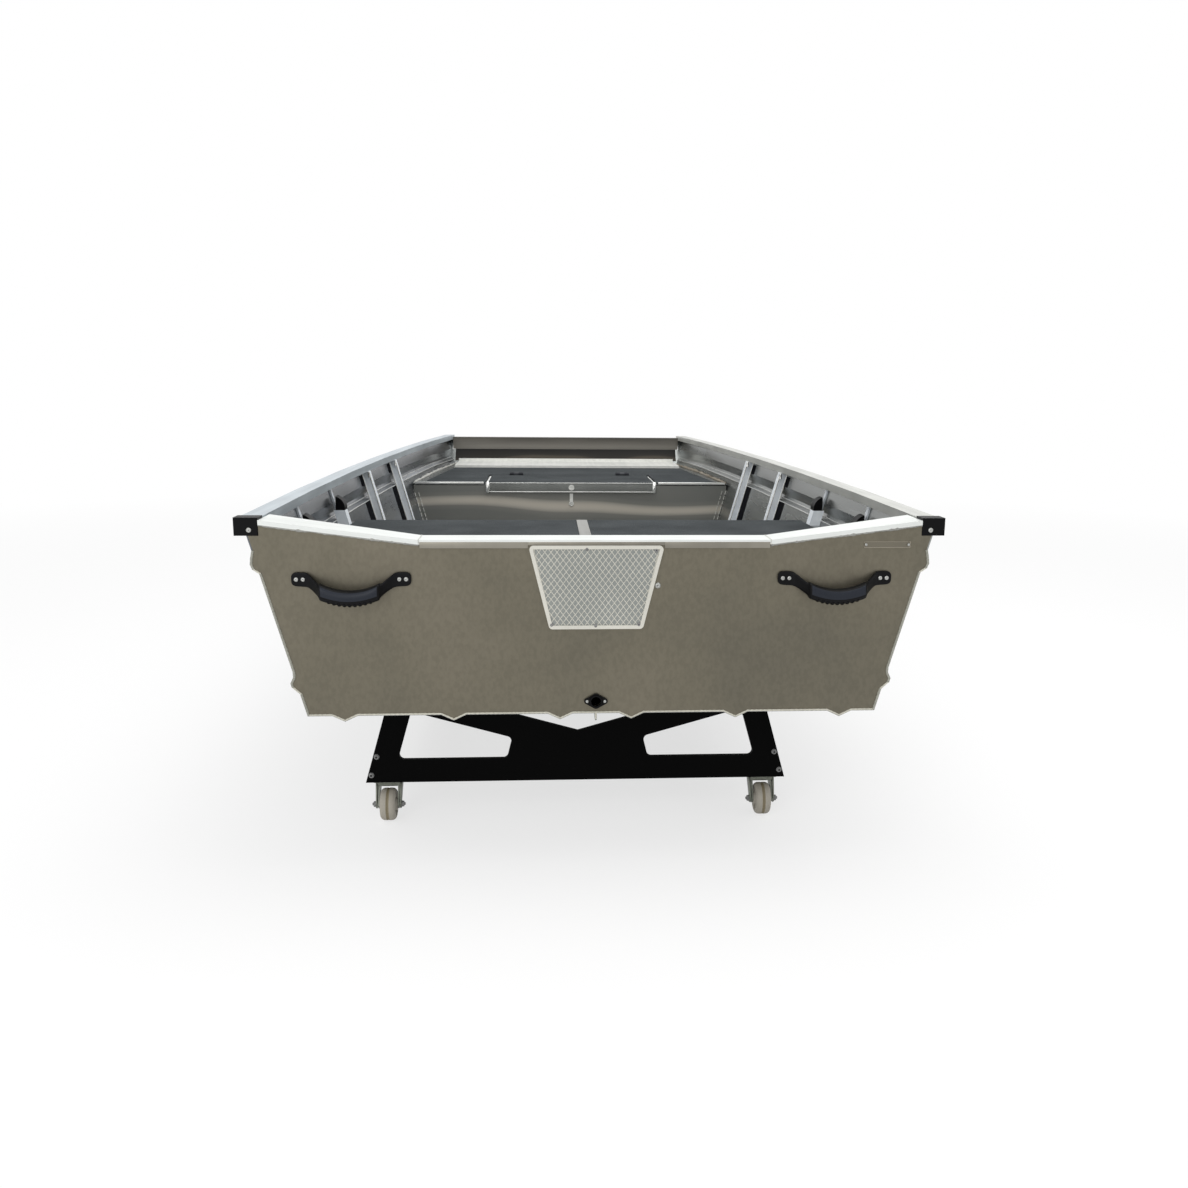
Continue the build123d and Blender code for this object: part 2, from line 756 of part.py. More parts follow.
def drain_flange():
    """Diamond flange with the drain's round boss and bore."""
    z = sheer - depth + drain_height
    ear = drain_half_width - drain_ear_radius
    apex = drain_half_height - drain_apex_radius
    circles = [Pos(x, 0) * Circle(drain_ear_radius) for x in (-ear, ear)]
    circles += [Pos(0, y) * Circle(drain_apex_radius) for y in (-apex, apex)]
    outline = make_hull([edge for circle in circles for edge in circle.edges()])
    front = Plane((0, 0, z), x_dir=(1, 0, 0), z_dir=(0, -1, 0))
    body = extrude(front * outline, drain_thickness)
    body += rod(drain_boss_radius, (0, 0, z), (0, -drain_thickness * 1.5, z))
    return body - drain_bore()


def drain_bore():
    z = sheer - depth + drain_height
    return rod(drain_bore_radius, (0, -overrun, z), (0, overrun, z))


def id_plate():
    """Blank plate near the top of the transom."""
    face = Rectangle(plate_length, plate_height)
    lift = Plane((beam / 2 - plate_inset, 0, sheer - plate_drop), x_dir=(1, 0, 0), z_dir=(0, -1, 0))
    turned = lift * (Rot(0, 0, -plate_tilt) * face)
    return extrude(turned, plate_thickness)


# Dolly
def dolly_plate_at(y):
    """Cradle plate: a lower beam, two leaning legs, and arms that rise from the middle."""
    top = hull_height
    foot = clearance_height
    shoulder = dolly_half - leg_lean * (top - foot)
    half = [(dolly_half, foot), (shoulder, top), (notch_half, top), (0.0, top - notch_drop)]
    outline = half + [(-x, z) for x, z in half[-2::-1]]
    body = upright(outline, y - dolly_plate / 2, dolly_plate)
    slope = notch_drop / notch_half
    arm = arm_thickness * hypot(1.0, slope)
    low = foot + beam_height
    hub_top = hub_half - hub_lean

    def arm_line(x):
        return top - notch_drop + slope * x - arm

    def leg_line(z):
        return dolly_half - leg_width / cos(radians(leg_tilt)) - leg_lean * (z - foot)

    def edge(x, z):
        return (x, y - overrun, z)

    crossing = (leg_line(foot) + leg_lean * (foot - top + notch_drop + arm)) / (1.0 + leg_lean * slope)
    window = [(hub_half, low), (leg_line(low), low), (crossing, arm_line(crossing)),
              (hub_top, arm_line(hub_top))]
    face = polygon([edge(x, z) for x, z in window])
    face = fillet(face.vertices(), window_corner)
    hole = extrude(face, 2 * overrun, dir=(0, 1, 0))
    body = body - hole - mirrored(hole)
    return Pos(dolly_offset, 0, 0) * body


def side_rail():
    """Starboard flat rail between the plates, leaning with their legs, and two castor brackets."""
    y0 = plate_places[0] + dolly_plate / 2
    y1 = plate_places[1] - dolly_plate / 2 - weld_gap
    foot = clearance_height
    outer = dolly_half - rail_inset
    shift = leg_lean * rail_height
    inner = outer - rail_thickness
    section = [(outer, foot), (outer - shift, foot + rail_height),
               (inner - shift, foot + rail_height), (inner, foot)]
    rail = upright(section, y0, y1 - y0)
    for start in (y0, y1 - bracket_length):
        rail += block(inner - bracket_width, inner, start, start + bracket_length, foot,
                      foot + bracket_thickness)
    return rail


# Castors: the top plate is fixed, the fork swivels, the wheel turns in the fork
def castor_top(x, y):
    z = clearance_height
    plate = block(-top_plate_width / 2, top_plate_width / 2, -top_plate_length / 2,
                  top_plate_length / 2, -top_plate, 0.0)
    plate = fillet(plate.edges().filter_by(Axis.Z), top_plate)
    race = rod(race_radius, (0, 0, -top_plate), (0, 0, -top_plate - race_height))
    foot = -top_plate - race_height
    head = foot - fork_sheet - 2 * swivel_gap
    stub = rod(stub_radius, (0, 0, foot), (0, 0, head))
    stub += rod(stub_head_radius, (0, 0, head), (0, 0, head - stub_head))
    return Pos(x, y, z) * (plate + race + stub)


def fork(x, y):
    """Swivelling fork: a crown under the race and two cheeks down to the axle."""
    crown_top = -top_plate - race_height - swivel_gap
    half = hub_width / 2 + hub_gap
    axle_z = wheel_radius - clearance_height
    crown = rod(race_radius, (0, 0, crown_top), (0, 0, crown_top - fork_sheet))
    crown += block(-half - fork_sheet, half + fork_sheet, -castor_trail * 0.6, race_radius * 0.7,
                   crown_top - fork_sheet, crown_top)
    crown -= rod(stub_radius + axle_clearance, (0, 0, crown_top - overrun), (0, 0, crown_top + overrun))
    body = crown
    for side in (-1, 1):
        x0 = side * half
        points = [(race_radius * 0.7, crown_top), (-castor_trail * 0.6, crown_top),
                  (-castor_trail - fork_width / 3, axle_z), (-castor_trail, axle_z - fork_width / 3),
                  (-castor_trail + fork_width / 3, axle_z)]
        cheek = polygon([(x0, py, pz) for py, pz in points])
        body += extrude(cheek, fork_sheet, dir=(side, 0, 0))
    tip = half + fork_sheet
    body += rod(axle_radius, (-tip, -castor_trail, axle_z), (tip, -castor_trail, axle_z))
    for side in (-1, 1):
        body += rod(axle_head_radius, (side * tip, -castor_trail, axle_z),
                    (side * (tip + axle_head), -castor_trail, axle_z))
    return Pos(x, y, clearance_height) * body


def wheel(x, y):
    """Round-treaded wheel with a hub, bored for its axle."""
    axle_z = wheel_radius
    tyre = rod(wheel_radius, (-wheel_width / 2, 0, 0), (wheel_width / 2, 0, 0))
    tyre = fillet(tyre.edges(), tread_round)
    body = tyre + rod(hub_radius, (-hub_width / 2, 0, 0), (hub_width / 2, 0, 0))
    body -= rod(axle_radius + axle_clearance, (-hub_width, 0, 0), (hub_width, 0, 0))
    return Pos(x, y - castor_trail, axle_z) * body


# Hull and its fittings
handed("side_sheet", hull_loft(side_section))
keep("bottom_sheet", hull_loft(bottom_section))
keep("transom_sheet", transom_sheet() - drain_bore())
keep("transom_inner", transom_inner())
keep("transom_cap", transom_cap())
keep("bow_panel", bow_panel())
handed("gunwale", gunwale())
keep("bow_rail", bow_rail())
handed("corner_cap", corner_cap())
keep("keel_strip", keel_strip())
keep("side_ribs", pairs(ribs()))
keep("floor_ribs", group([floor_rib(y) for y in rib_places]))
keep("aft_posts", pairs(posts()))
keep("post_caps", pairs([post_cap(y) for y in post_places]))
keep("aft_deck", aft_deck())
keep("aft_bulkhead", bulkhead(aft_deck_end, aft_deck_drop + sheet))
handed("aft_carpet", aft_carpet())
keep("deck_strap", block(-strap_width / 2, strap_width / 2, capping_depth, aft_deck_end,
                         sheer - aft_deck_drop, sheer - aft_deck_drop + carpet))
keep("fore_deck", fore_deck())
keep("fore_bulkhead",
     bulkhead(fore_deck_start + sheet, fore_deck_drop + 2 * sheet) - limber_notches())
keep("fore_carpet", fore_carpet())
keep("nose_plate", nose_plate())
keep("rub_plate", rub_plate())
handed("handle", handle())
keep("drain_flange", drain_flange())
keep("id_plate", id_plate())

keep("hatch_lid", lid() + lid_hinge(hinge_places[0]) + lid_hinge(hinge_places[1]))
keep("lid_carpet", lid_panel())
keep("hatch_hinges", group([fixed_hinge(x) for x in hinge_places]))
keep("hatch_latch", latch())
keep("hatch_hasp", hasp())

# Dolly and castors
castor_ys = (plate_places[0] + castor_inset, plate_places[1] - castor_inset)
keep("dolly_plate_aft", dolly_plate_at(plate_places[0]))
keep("dolly_plate_fore", dolly_plate_at(plate_places[1]))
keep("dolly_rails", Pos(dolly_offset, 0, 0) * pairs([side_rail()]))
corners = [(end + "_" + hand, dolly_offset + side * castor_half, y)
           for end, y in zip(("aft", "fore"), castor_ys)
           for hand, side in (("port", -1), ("starboard", 1))]
keep("castor_plates", group([castor_top(x, y) for _, x, y in corners]))
for corner, x, y in corners:
    keep("fork_" + corner, fork(x, y))
    keep("wheel_" + corner, wheel(x, y))

# Everything is moved so that the origin is on the floor below the middle
boxes = [shape.bounding_box() for shape in nodes.values()]
middle = (min(box.min.Y for box in boxes) + max(box.max.Y for box in boxes)) / 2
for name, shape in nodes.items():
    placed = [Pos(0, -middle, 0) * solid for solid in shape.solids()]
    export_step(placed[0] if len(placed) == 1 else group(placed), f"parts/{name}.step")

print("origin lies", middle, "forward of the transom's outer face")
print("hinge", hinge_y - middle, hinge_z, "castors", [(c, x, y - middle) for c, x, y in corners])
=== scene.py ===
# %% [markdown]
# # A welded jon boat on its dolly
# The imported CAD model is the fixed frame: its sheets, rails and castors are in place and in
# metres. This lesson gives them their finishes, and adds what a boat builder adds last: rivets,
# screws, weld beads, carpet and the grid on the motor pad.

import json
from math import cos, pi, radians, sin, tau

import bmesh
import bpy
from mathutils import Matrix, Vector, noise


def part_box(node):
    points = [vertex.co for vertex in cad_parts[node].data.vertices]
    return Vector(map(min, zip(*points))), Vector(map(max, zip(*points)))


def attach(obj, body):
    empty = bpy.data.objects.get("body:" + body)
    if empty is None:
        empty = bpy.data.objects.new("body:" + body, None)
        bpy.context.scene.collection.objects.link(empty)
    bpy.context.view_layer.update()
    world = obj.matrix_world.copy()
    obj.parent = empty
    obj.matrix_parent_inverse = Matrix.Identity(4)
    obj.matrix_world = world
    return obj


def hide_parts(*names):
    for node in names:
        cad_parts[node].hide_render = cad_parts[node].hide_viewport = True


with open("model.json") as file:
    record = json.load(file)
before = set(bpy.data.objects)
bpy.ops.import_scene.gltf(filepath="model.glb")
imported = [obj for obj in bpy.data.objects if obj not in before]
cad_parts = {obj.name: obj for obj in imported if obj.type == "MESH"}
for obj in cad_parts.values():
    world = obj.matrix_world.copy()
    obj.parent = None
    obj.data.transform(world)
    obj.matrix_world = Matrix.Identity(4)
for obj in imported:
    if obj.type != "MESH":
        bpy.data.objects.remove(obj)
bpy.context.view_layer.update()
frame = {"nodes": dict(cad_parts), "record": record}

# %% [markdown]
# ## The camera
# The photographer stood close behind the boat, a little to port, with the camera at chest height
# and tilted down. The place is measured from two faces of the hull: the transom and the gunwale's
# top. A camera looks along its own -Z, so its matrix is built from the directions right, up and back.

# %% Camera
SENSOR = 36.0
PHOTO_SIDE = 1188
FOCAL_PIXELS = 1106.6
MIDDLE_X, MIDDLE_Y = 621.0, 600.3
YAW, PITCH, ROLL = radians(3.97), radians(11.34), radians(0.54)
TO_PORT, BEHIND, ABOVE = 0.110, 2.359, 0.296


def placed(name, data):
    """A new object in the scene."""
    made = bpy.data.objects.new(name, data)
    bpy.context.scene.collection.objects.link(made)
    return made


transom_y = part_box("transom_sheet")[0].y
sheer_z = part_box("gunwale_port")[1].z
place = Vector((-TO_PORT, transom_y - BEHIND, sheer_z + ABOVE))

ahead = Vector((sin(YAW) * cos(PITCH), cos(YAW) * cos(PITCH), -sin(PITCH)))
level_right = Vector((cos(YAW), -sin(YAW), 0))
level_up = level_right.cross(ahead)
right = level_right * cos(ROLL) + level_up * sin(ROLL)
up = level_up * cos(ROLL) - level_right * sin(ROLL)

lens = bpy.data.cameras.new("photo_camera")
lens.sensor_width = SENSOR
lens.lens = FOCAL_PIXELS / PHOTO_SIDE * SENSOR
lens.shift_x = (PHOTO_SIDE / 2 - MIDDLE_X) / PHOTO_SIDE
lens.shift_y = (MIDDLE_Y - PHOTO_SIDE / 2) / PHOTO_SIDE
lens.clip_end = 200
camera = placed("photo_camera", lens)
camera.matrix_world = Matrix.Translation(place) @ Matrix((right, up, -ahead)).transposed().to_4x4()
bpy.context.scene.camera = camera
print("lens", round(lens.lens, 2), "mm, camera", [round(v, 3) for v in place])

# %% [markdown]
# ## Finishes, from small helpers
# Every finish is a node tree on Object coordinates, which are real metres because each piece's
# object sits at the origin. A picture texture would blur close up and slide where a piece has no
# UV map. The helpers add a node, start a material, read a noise, colour it and link the results.

# %% Helpers for materials
def add(tree, kind, inputs, **settings):
    """A new shader node. Each input takes a value, or a socket that is linked to it."""
    node = tree.nodes.new("ShaderNode" + kind)
    for name, value in settings.items():
        setattr(node, name, value)
    for name, value in inputs.items():
        if isinstance(value, bpy.types.NodeSocket):
            tree.links.new(value, node.inputs[name])
        else:
            node.inputs[name].default_value = value
    return node


def finish(name, roughness, metallic=0.0, gloss=0.5):
    """A new material: its tree, its Principled shader and its Object coordinates."""
    material = bpy.data.materials.new(name)
    material.use_nodes = True
    tree = material.node_tree
    shader = tree.nodes["Principled BSDF"]
    for title, value in (("Roughness", roughness), ("Metallic", metallic),
                         ("Specular IOR Level", gloss)):
        shader.inputs[title].default_value = value
    return material, tree, shader, add(tree, "TexCoord", {}).outputs["Object"]


def grain(tree, coords, scale, detail=3.0, stretch=(1, 1, 1), offset=(0, 0, 0)):
    """Noise from 0 to 1. The scale counts lumps in a metre, and stretch squeezes it along an axis."""
    mapping = add(tree, "Mapping", {"Scale": stretch, "Location": offset, "Vector": coords})
    texture = {"Scale": scale, "Detail": detail, "Vector": mapping.outputs["Vector"]}
    return add(tree, "TexNoise", texture).outputs["Fac"]


def from_screen(*colour):
    """A colour as it looks on a screen, 0 to 255, as the linear values a shader wants."""
    shares = [value / 255 for value in colour]
    return [v / 12.92 if v <= 0.04045 else ((v + 0.055) / 1.055) ** 2.4 for v in shares]


def tones(tree, fac, *stops, screen=True):
    """Colours at places along a value, given as (place, (red, green, blue))."""
    ramp = add(tree, "ValToRGB", {"Fac": fac})
    elements = ramp.color_ramp.elements
    while len(elements) < len(stops):
        elements.new(0.5)
    for element, (at, colour) in zip(elements, stops):
        element.position = at
        element.color = (*(from_screen(*colour) if screen else colour), 1)
    return ramp.outputs["Color"]


def mixed(tree, fac, a, b, blend="MIX"):
    """Two colours mixed by a value or a fixed share."""
    mix = add(tree, "Mix", {"Factor": fac, "A": a, "B": b}, data_type="RGBA", blend_type=blend)
    return mix.outputs["Result"]


def ranged(tree, fac, low, high):
    """A value from 0 to 1 mapped to a range."""
    return add(tree, "MapRange", {"To Min": low, "To Max": high, "Value": fac}).outputs["Result"]


def coated(tree, shader, colour, wear, least, most, height, strength, depth):
    """Link a finish: its colour, its roughness along a value, and its bump in metres."""
    bump = add(tree, "Bump", {"Strength": strength, "Distance": depth, "Height": height})
    tree.links.new(colour, shader.inputs["Base Color"])
    tree.links.new(ranged(tree, wear, least, most), shader.inputs["Roughness"])
    tree.links.new(bump.outputs["Normal"], shader.inputs["Normal"])


print("helpers ready")

# %% [markdown]
# ## Aluminium
# Rolling leaves fine lines in marine sheet, and handling leaves clouds. A mirror with a rough bump
# would miss the clouds, where colour and gloss change together, so one pattern drives both. A
# bright extrusion is paler, with fine lines along its length.

# %% Helpers for aluminium
def sheet_metal(name, dark, middle, pale, roughness, streaks, seed, metal=0.72, drift=(1, 1, 1)):
    """Rolled aluminium sheet: slow clouds, with fine streaks along one axis."""
    material, tree, shader, coords = finish(name, roughness, metal)
    clouds = grain(tree, coords, 2.6, 4.0, drift, seed)
    lines = grain(tree, coords, 9.0, 2.0, streaks, seed)
    base = tones(tree, clouds, (0.30, dark), (0.50, middle), (0.72, pale))
    drawn = tones(tree, lines, (0.35, (0.90, 0.90, 0.90)), (0.62, (1, 1, 1)), screen=False)
    coated(tree, shader, mixed(tree, 1.0, base, drawn, "MULTIPLY"), clouds,
           roughness - 0.10, roughness + 0.12, lines, 0.25, 0.0004)
    return material


def wavy_metal(name, dark, middle, pale, roughness, bands, phase, shade=None, stops=(0.45, 0.85),
               metal=0.3, gloss=0.5):
    """Smooth sheet with slow horizontal waves of light, and a darker top where a shade is given."""
    material, tree, shader, coords = finish(name, roughness, metal, gloss)
    mapping = add(tree, "Mapping", {"Scale": (0.5, 1, 1), "Vector": coords})
    wave = add(tree, "TexWave", {
        "Scale": bands, "Distortion": 2.4, "Detail": 1.0, "Detail Scale": 1.6,
        "Phase Offset": phase, "Vector": mapping.outputs["Vector"]}, bands_direction="Z")
    clouds = grain(tree, coords, 3.0, 3.0, (1, 1, 2))
    waves = tones(tree, wave.outputs["Fac"], (stops[0], dark), (stops[1], middle), (1.0, pale))
    base = mixed(tree, 0.30, waves, tones(tree, clouds, (0.30, dark), (0.70, middle)))
    if shade:
        foot, top, tint = shade
        height = add(tree, "SeparateXYZ", {"Vector": coords}).outputs["Z"]
        rise = add(tree, "MapRange", {"From Min": foot, "From Max": top, "Value": height})
        shadow = tones(tree, rise.outputs["Result"], (0.0, (1, 1, 1)), (1.0, tint), screen=False)
        base = mixed(tree, 1.0, base, shadow, "MULTIPLY")
    coated(tree, shader, base, clouds, roughness - 0.06, roughness + 0.10,
           grain(tree, coords, 2.0, 1.0), 0.3, 0.004)
    return material


def extrusion(name, dark, pale, roughness, metal=0.45, along=(1, 0.03, 1)):
    """Brushed bright aluminium with fine lines along the boat, or along another axis."""
    material, tree, shader, coords = finish(name, roughness, metal)
    lines = grain(tree, coords, 60.0, 2.0, along)
    wear = grain(tree, coords, 7.0, 4.0)
    colour = mixed(tree, 0.6, tones(tree, wear, (0.35, dark), (0.65, pale)),
                   tones(tree, lines, (0.3, dark), (0.7, pale)))
    coated(tree, shader, colour, wear, roughness - 0.08, roughness + 0.12, lines, 0.15, 0.0003)
    return material


print("three kinds of aluminium")

# %% [markdown]
# The port side faces a bluer light, which is painted into its sheet and gunwale as bluer, darker
# metals, and both gunwales are painted darker as shade on their inner faces. A coloured lamp would
# tint everything else too.

# %% Sheets and extrusions
FINE, SIDE_STREAKS, SIDE_DRIFT = (1, 1, 1), (1, 0.3, 6), (1, 0.35, 2.4)
BOW_SHADE = (0.730, 0.772, (0.30, 0.29, 0.28))
SHADE_SHEET_FADE = (0.690, 0.712, (0.25, 0.24, 0.22))

transom_metal = sheet_metal("transom_aluminium", (103, 99, 87), (112, 107, 93), (121, 115, 101),
                            0.35, (14, 14, 9), (0, 0, 0))
hull_metal = sheet_metal("hull_aluminium", (98, 101, 99), (128, 131, 129), (162, 165, 163),
                         0.26, SIDE_STREAKS, (3, 1, 0), 0.8, SIDE_DRIFT)
plate_metal = sheet_metal("plate_aluminium", (110, 105, 93), (117, 112, 99), (124, 119, 106),
                          0.40, FINE, (5, 5, 5))
plate_rim_metal = sheet_metal("plate_rim", (156, 148, 132), (168, 160, 146), (180, 172, 158),
                              0.40, FINE, (5, 5, 5))
band_metal = sheet_metal("capping_band", (132, 128, 118), (144, 140, 129), (158, 154, 143),
                         0.42, (3, 1, 1), (2, 6, 5))
# Painted reflections: the bulkheads' pale waves stand for light reflected in the sheet.
panel_metal = wavy_metal("bulkhead_aluminium", (116, 117, 113), (132, 131, 125), (216, 208, 194),
                         0.34, 1.1, 3.5, stops=(0.84, 0.95))
# Painted shade: a near-black sheet for the shade low on the bow panel, darker higher up.
bow_shade_black = wavy_metal("bow_shade_finish", (20, 18, 14), (34, 31, 26), (74, 68, 58),
                         0.6, 3.0, 1.0, SHADE_SHEET_FADE, metal=0.0, gloss=0.2)
rail_metal = extrusion("rail_aluminium", (226, 227, 223), (238, 239, 235), 0.40)
rib_metal = extrusion("rib_aluminium", (220, 227, 234), (241, 246, 250), 0.40, 0.05)
nose_metal = extrusion("nose_aluminium", (210, 211, 206), (230, 230, 225), 0.42, 0.25)
print("aluminium:", [m.name for m in (transom_metal, hull_metal, panel_metal, rail_metal)])

# %% [markdown]
# ## Carpet, plastic, rubber and paint
# Marine carpet is a short pile: specks close up, and a flat slate colour from afar. Moulded
# plastic has a fine leathery grain, thick paint has an orange-peel surface, and weld beads are
# rough too. One recipe makes them all from the size and the depth of a grain.

# %% Soft, dark and rough finishes
def speckled(name, dark, pale, roughness, size=0.002, depth=0.0002, strength=0.5, metal=0.0,
             gloss=0.5):
    """A finish with one fine grain, of this size in metres, for its colour and its bump."""
    material, tree, shader, coords = finish(name, roughness, metal, gloss)
    fine = grain(tree, coords, 1 / size, 2.0)
    slow = grain(tree, coords, 6.0, 3.0)
    colour = mixed(tree, 0.5, tones(tree, fine, (0.30, dark), (0.70, pale)),
                   tones(tree, slow, (0.30, dark), (0.70, pale)))
    coated(tree, shader, colour, slow, roughness - 0.06, roughness + 0.06, fine, strength, depth)
    return material


PILE = {"size": 0.003, "depth": 0.003, "strength": 0.9, "gloss": 0.15}
BEAD = {"size": 0.004, "depth": 0.0012, "strength": 0.9}
carpet = speckled("marine_carpet", (44, 48, 50), (78, 82, 84), 0.95, **PILE)
# Painted light: the lip's carpet is a lighter copy of the deck carpet, for light on its upright face.
lip_carpet_lit = speckled("lip_carpet_lit", (104, 106, 103), (142, 144, 141), 0.95, **PILE)
cap_plastic = speckled("black_plastic", (2, 2, 3), (8, 8, 10), 0.45, 0.0012, 0.0003, gloss=0.12)
# Painted shade: black strips stand for the shade behind the ribs.
rib_shade_black = speckled("rib_shade_finish", (3, 4, 8), (9, 10, 16), 0.85, 0.0015, 0.0004, gloss=0.05)
pad_plastic = speckled("pad_plastic", (198, 196, 186), (216, 214, 204), 0.5, 0.0015, 0.0003)
# Painted shade: the field between the pad's ridges is a darker copy of its plastic, as shade in the
# recess.
pad_field_shaded = speckled("pad_field", (128, 132, 129), (148, 151, 147), 0.6, 0.0015, 0.0003)
grip_rubber = speckled("handle_rubber", (2, 2, 3), (8, 9, 12), 0.45, 0.0015, gloss=0.14)
# Painted highlight: the grip's front is a lighter blue-grey than the rubber, and a little glossier.
grip_sheen = speckled("handle_grip_sheen", (26, 30, 38), (40, 44, 53), 0.38, 0.0015, gloss=0.20)
dolly_paint = speckled("dolly_paint", (1, 1, 1), (3, 3, 3), 0.50, 0.0025, 0.0003, gloss=0.04)
castor_steel = speckled("castor_steel", (96, 100, 90), (134, 136, 126), 0.42, metal=0.5)
bolt_steel = speckled("bolt_steel", (108, 108, 108), (140, 140, 139), 0.45)
# Painted shade: the dark inside of the dip in a bolt's or a screw's head.
socket_shade = speckled("socket_shade", (24, 24, 24), (44, 44, 44), 0.6)
wheel_rubber = speckled("wheel_rubber", (152, 147, 136), (186, 180, 168), 0.6, depth=0.0004)
wheel_seam = speckled("wheel_seam", (112, 102, 78), (150, 140, 116), 0.7, depth=0.0004)
polished = speckled("polished_aluminium", (206, 207, 204), (236, 236, 232), 0.24, 0.004, metal=0.6)
rivet_metal = speckled("rivet_aluminium", (156, 157, 154), (196, 197, 193), 0.38, 0.003, metal=0.6)
weld_metal = speckled("weld_bead", (176, 176, 170), (226, 226, 220), 0.4, metal=0.5, **BEAD)
rim_weld = speckled("rim_weld", (126, 126, 116), (172, 171, 160), 0.5, **BEAD)
bottom_weld = speckled("bottom_weld", (176, 173, 160), (216, 213, 200), 0.45, **BEAD)
wing_weld = speckled("wing_weld", (120, 120, 116), (176, 176, 170), 0.45, **BEAD)
stained = speckled("stained_sealant", (96, 84, 68), (168, 160, 146), 0.7, 0.006, 0.002, 0.9)
print("other finishes ready")

# %% [markdown]
# ## Which node wears what
# The record names a material slot for each node, so a table from slot to finish does for most of
# them. The hatch lid is bright where its lip shows and dark where it stands past its carpet, so it
# has a finish that looks at the height and at the place along the boat.

# %% Finish of the hatch lid
PAST_CARPET, HINGE_STRIP = 0.0007, 0.020

hatch_metal = rail_metal.copy()
hatch_metal.name = "hatch_aluminium"
tree = hatch_metal.node_tree
shader = tree.nodes["Principled BSDF"]
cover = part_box("lid_carpet")[1]
spot = add(tree, "SeparateXYZ", {"Vector": tree.nodes["Texture Coordinate"].outputs["Object"]})
above, ahead_of = (
    add(tree, "Math", {0: spot.outputs[axis], 1: limit}, operation="GREATER_THAN").outputs["Value"]
    for axis, limit in (("Z", cover.z + PAST_CARPET), ("Y", cover.y - HINGE_STRIP)))
beyond = add(tree, "Math", {0: above, 1: ahead_of}, operation="MAXIMUM").outputs["Value"]
bare = shader.inputs["Base Color"].links[0].from_socket
covered = (*from_screen(50, 52, 56), 1)
tree.links.new(mixed(tree, beyond, bare, covered), shader.inputs["Base Color"])
print(hatch_metal.name, "ready")

# %% [markdown]
# Each CAD node gets one finish, by its slot or else by its own name where it differs from the rest
# of its slot. The bulkheads, for one, are a smoother sheet than the sides.

# %% Dress the CAD nodes
by_slot = {
    "hull": hull_metal, "transom": transom_metal, "rail": rail_metal, "carpet": carpet,
    "black_plastic": cap_plastic, "pad": pad_plastic, "handle_rubber": grip_rubber,
    "fitting": polished, "dolly_paint": dolly_paint, "castor_steel": castor_steel,
    "wheel": wheel_rubber,
}
by_name = {
    "hatch_lid": hatch_metal, "id_plate": plate_metal,
    "hatch_hinges": speckled("hinge_plastic", (40, 42, 46), (58, 60, 64), 0.6, 0.0012, 0.0003,
                             gloss=0.15),
    # Painted light: a bluer, darker port sheet and darker gunwales, for the light on each.
    "side_sheet_port": sheet_metal("hull_aluminium_port_blue_light", (78, 82, 86), (102, 106, 111),
                                   (142, 147, 153), 0.24, SIDE_STREAKS, (8, 2, 0), 0.8, SIDE_DRIFT),
    "gunwale_starboard": extrusion("gunwale_aluminium_starboard_shade", (178, 179, 174), (208, 209, 204),
                                   0.38, 0.5),
    "gunwale_port": extrusion("gunwale_aluminium_port_blue_light", (164, 173, 179), (194, 203, 208), 0.38, 0.4),
    "transom_cap": extrusion("capping_aluminium", (218, 221, 218), (229, 232, 229), 0.42, 0.4,
                             (0.03, 1, 1)),
    "deck_strap": extrusion("strap_aluminium", (118, 118, 114), (152, 152, 148), 0.45, 0.2),
    "bow_rail": wavy_metal("bow_rail_aluminium", (112, 109, 102), (130, 127, 119), (152, 148, 138),
                           0.40, 2.6, 0.0, BOW_SHADE),
}
by_name |= dict.fromkeys(("hatch_latch", "hatch_hasp", "nose_plate"), nose_metal)
by_name |= dict.fromkeys(("aft_bulkhead", "fore_bulkhead"), panel_metal)
by_name |= dict.fromkeys(("side_ribs", "aft_posts"), rib_metal)
slots = {part["node"]: part["material_slot"] for part in frame["record"]["subparts"]}
for name, node in frame["nodes"].items():
    node.data.materials.clear()
    node.data.materials.append(by_name.get(name, by_slot[slots[name]]))
print(len(slots), "nodes dressed")

# %% [markdown]
# ## Making a piece from a bmesh
# A bmesh is a mesh in hand, before it belongs to an object. Each piece is shaped there in its real
# place, so its object stays at the origin. The last step gives it its finishes and the body it
# rides on.

# %% Helpers for pieces
SHARP = radians(30)
MERGE = 1e-5
TIGHT = 1e-6


def baked(name, mesh):
    """Mesh data from a bmesh, which is used up."""
    data = bpy.data.meshes.new(name)
    mesh.to_mesh(data)
    mesh.free()
    return data


def settled(made, body):
    """An object gets the body it rides on."""
    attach(made, body)
    print(made.name, len(made.data.polygons), "faces")
    return made


def piece(name, mesh, finishes, body="root", smooth=True):
    """A bmesh becomes an object. The first finish is for all faces, a second for those marked 1."""
    data = baked(name, mesh)
    for material in finishes if isinstance(finishes, tuple) else (finishes,):
        data.materials.append(material)
    data.shade_smooth() if smooth else data.shade_flat()
    return settled(placed(name, data), body)


def bevelled(mesh, size, segments=2, edges=None):
    """Round the sharp edges of a mesh."""
    if edges is None:
        edges = [e for e in mesh.edges if e.calc_face_angle(0) > SHARP]
    bmesh.ops.bevel(mesh, geom=edges, offset=size, segments=segments, profile=0.5,
                    affect="EDGES", material=-1)
    return mesh


def block(middle, size):
    """A plain box round a point."""
    mesh = bmesh.new()
    bmesh.ops.create_cube(mesh, size=1.0,
                          matrix=Matrix.Translation(middle) @ Matrix.Diagonal((*size, 1)))
    return mesh


def bar(low, high, round_off):
    """A bevelled bar between two corners."""
    low, high = Vector(low), Vector(high)
    return bevelled(block((low + high) / 2, high - low), round_off)


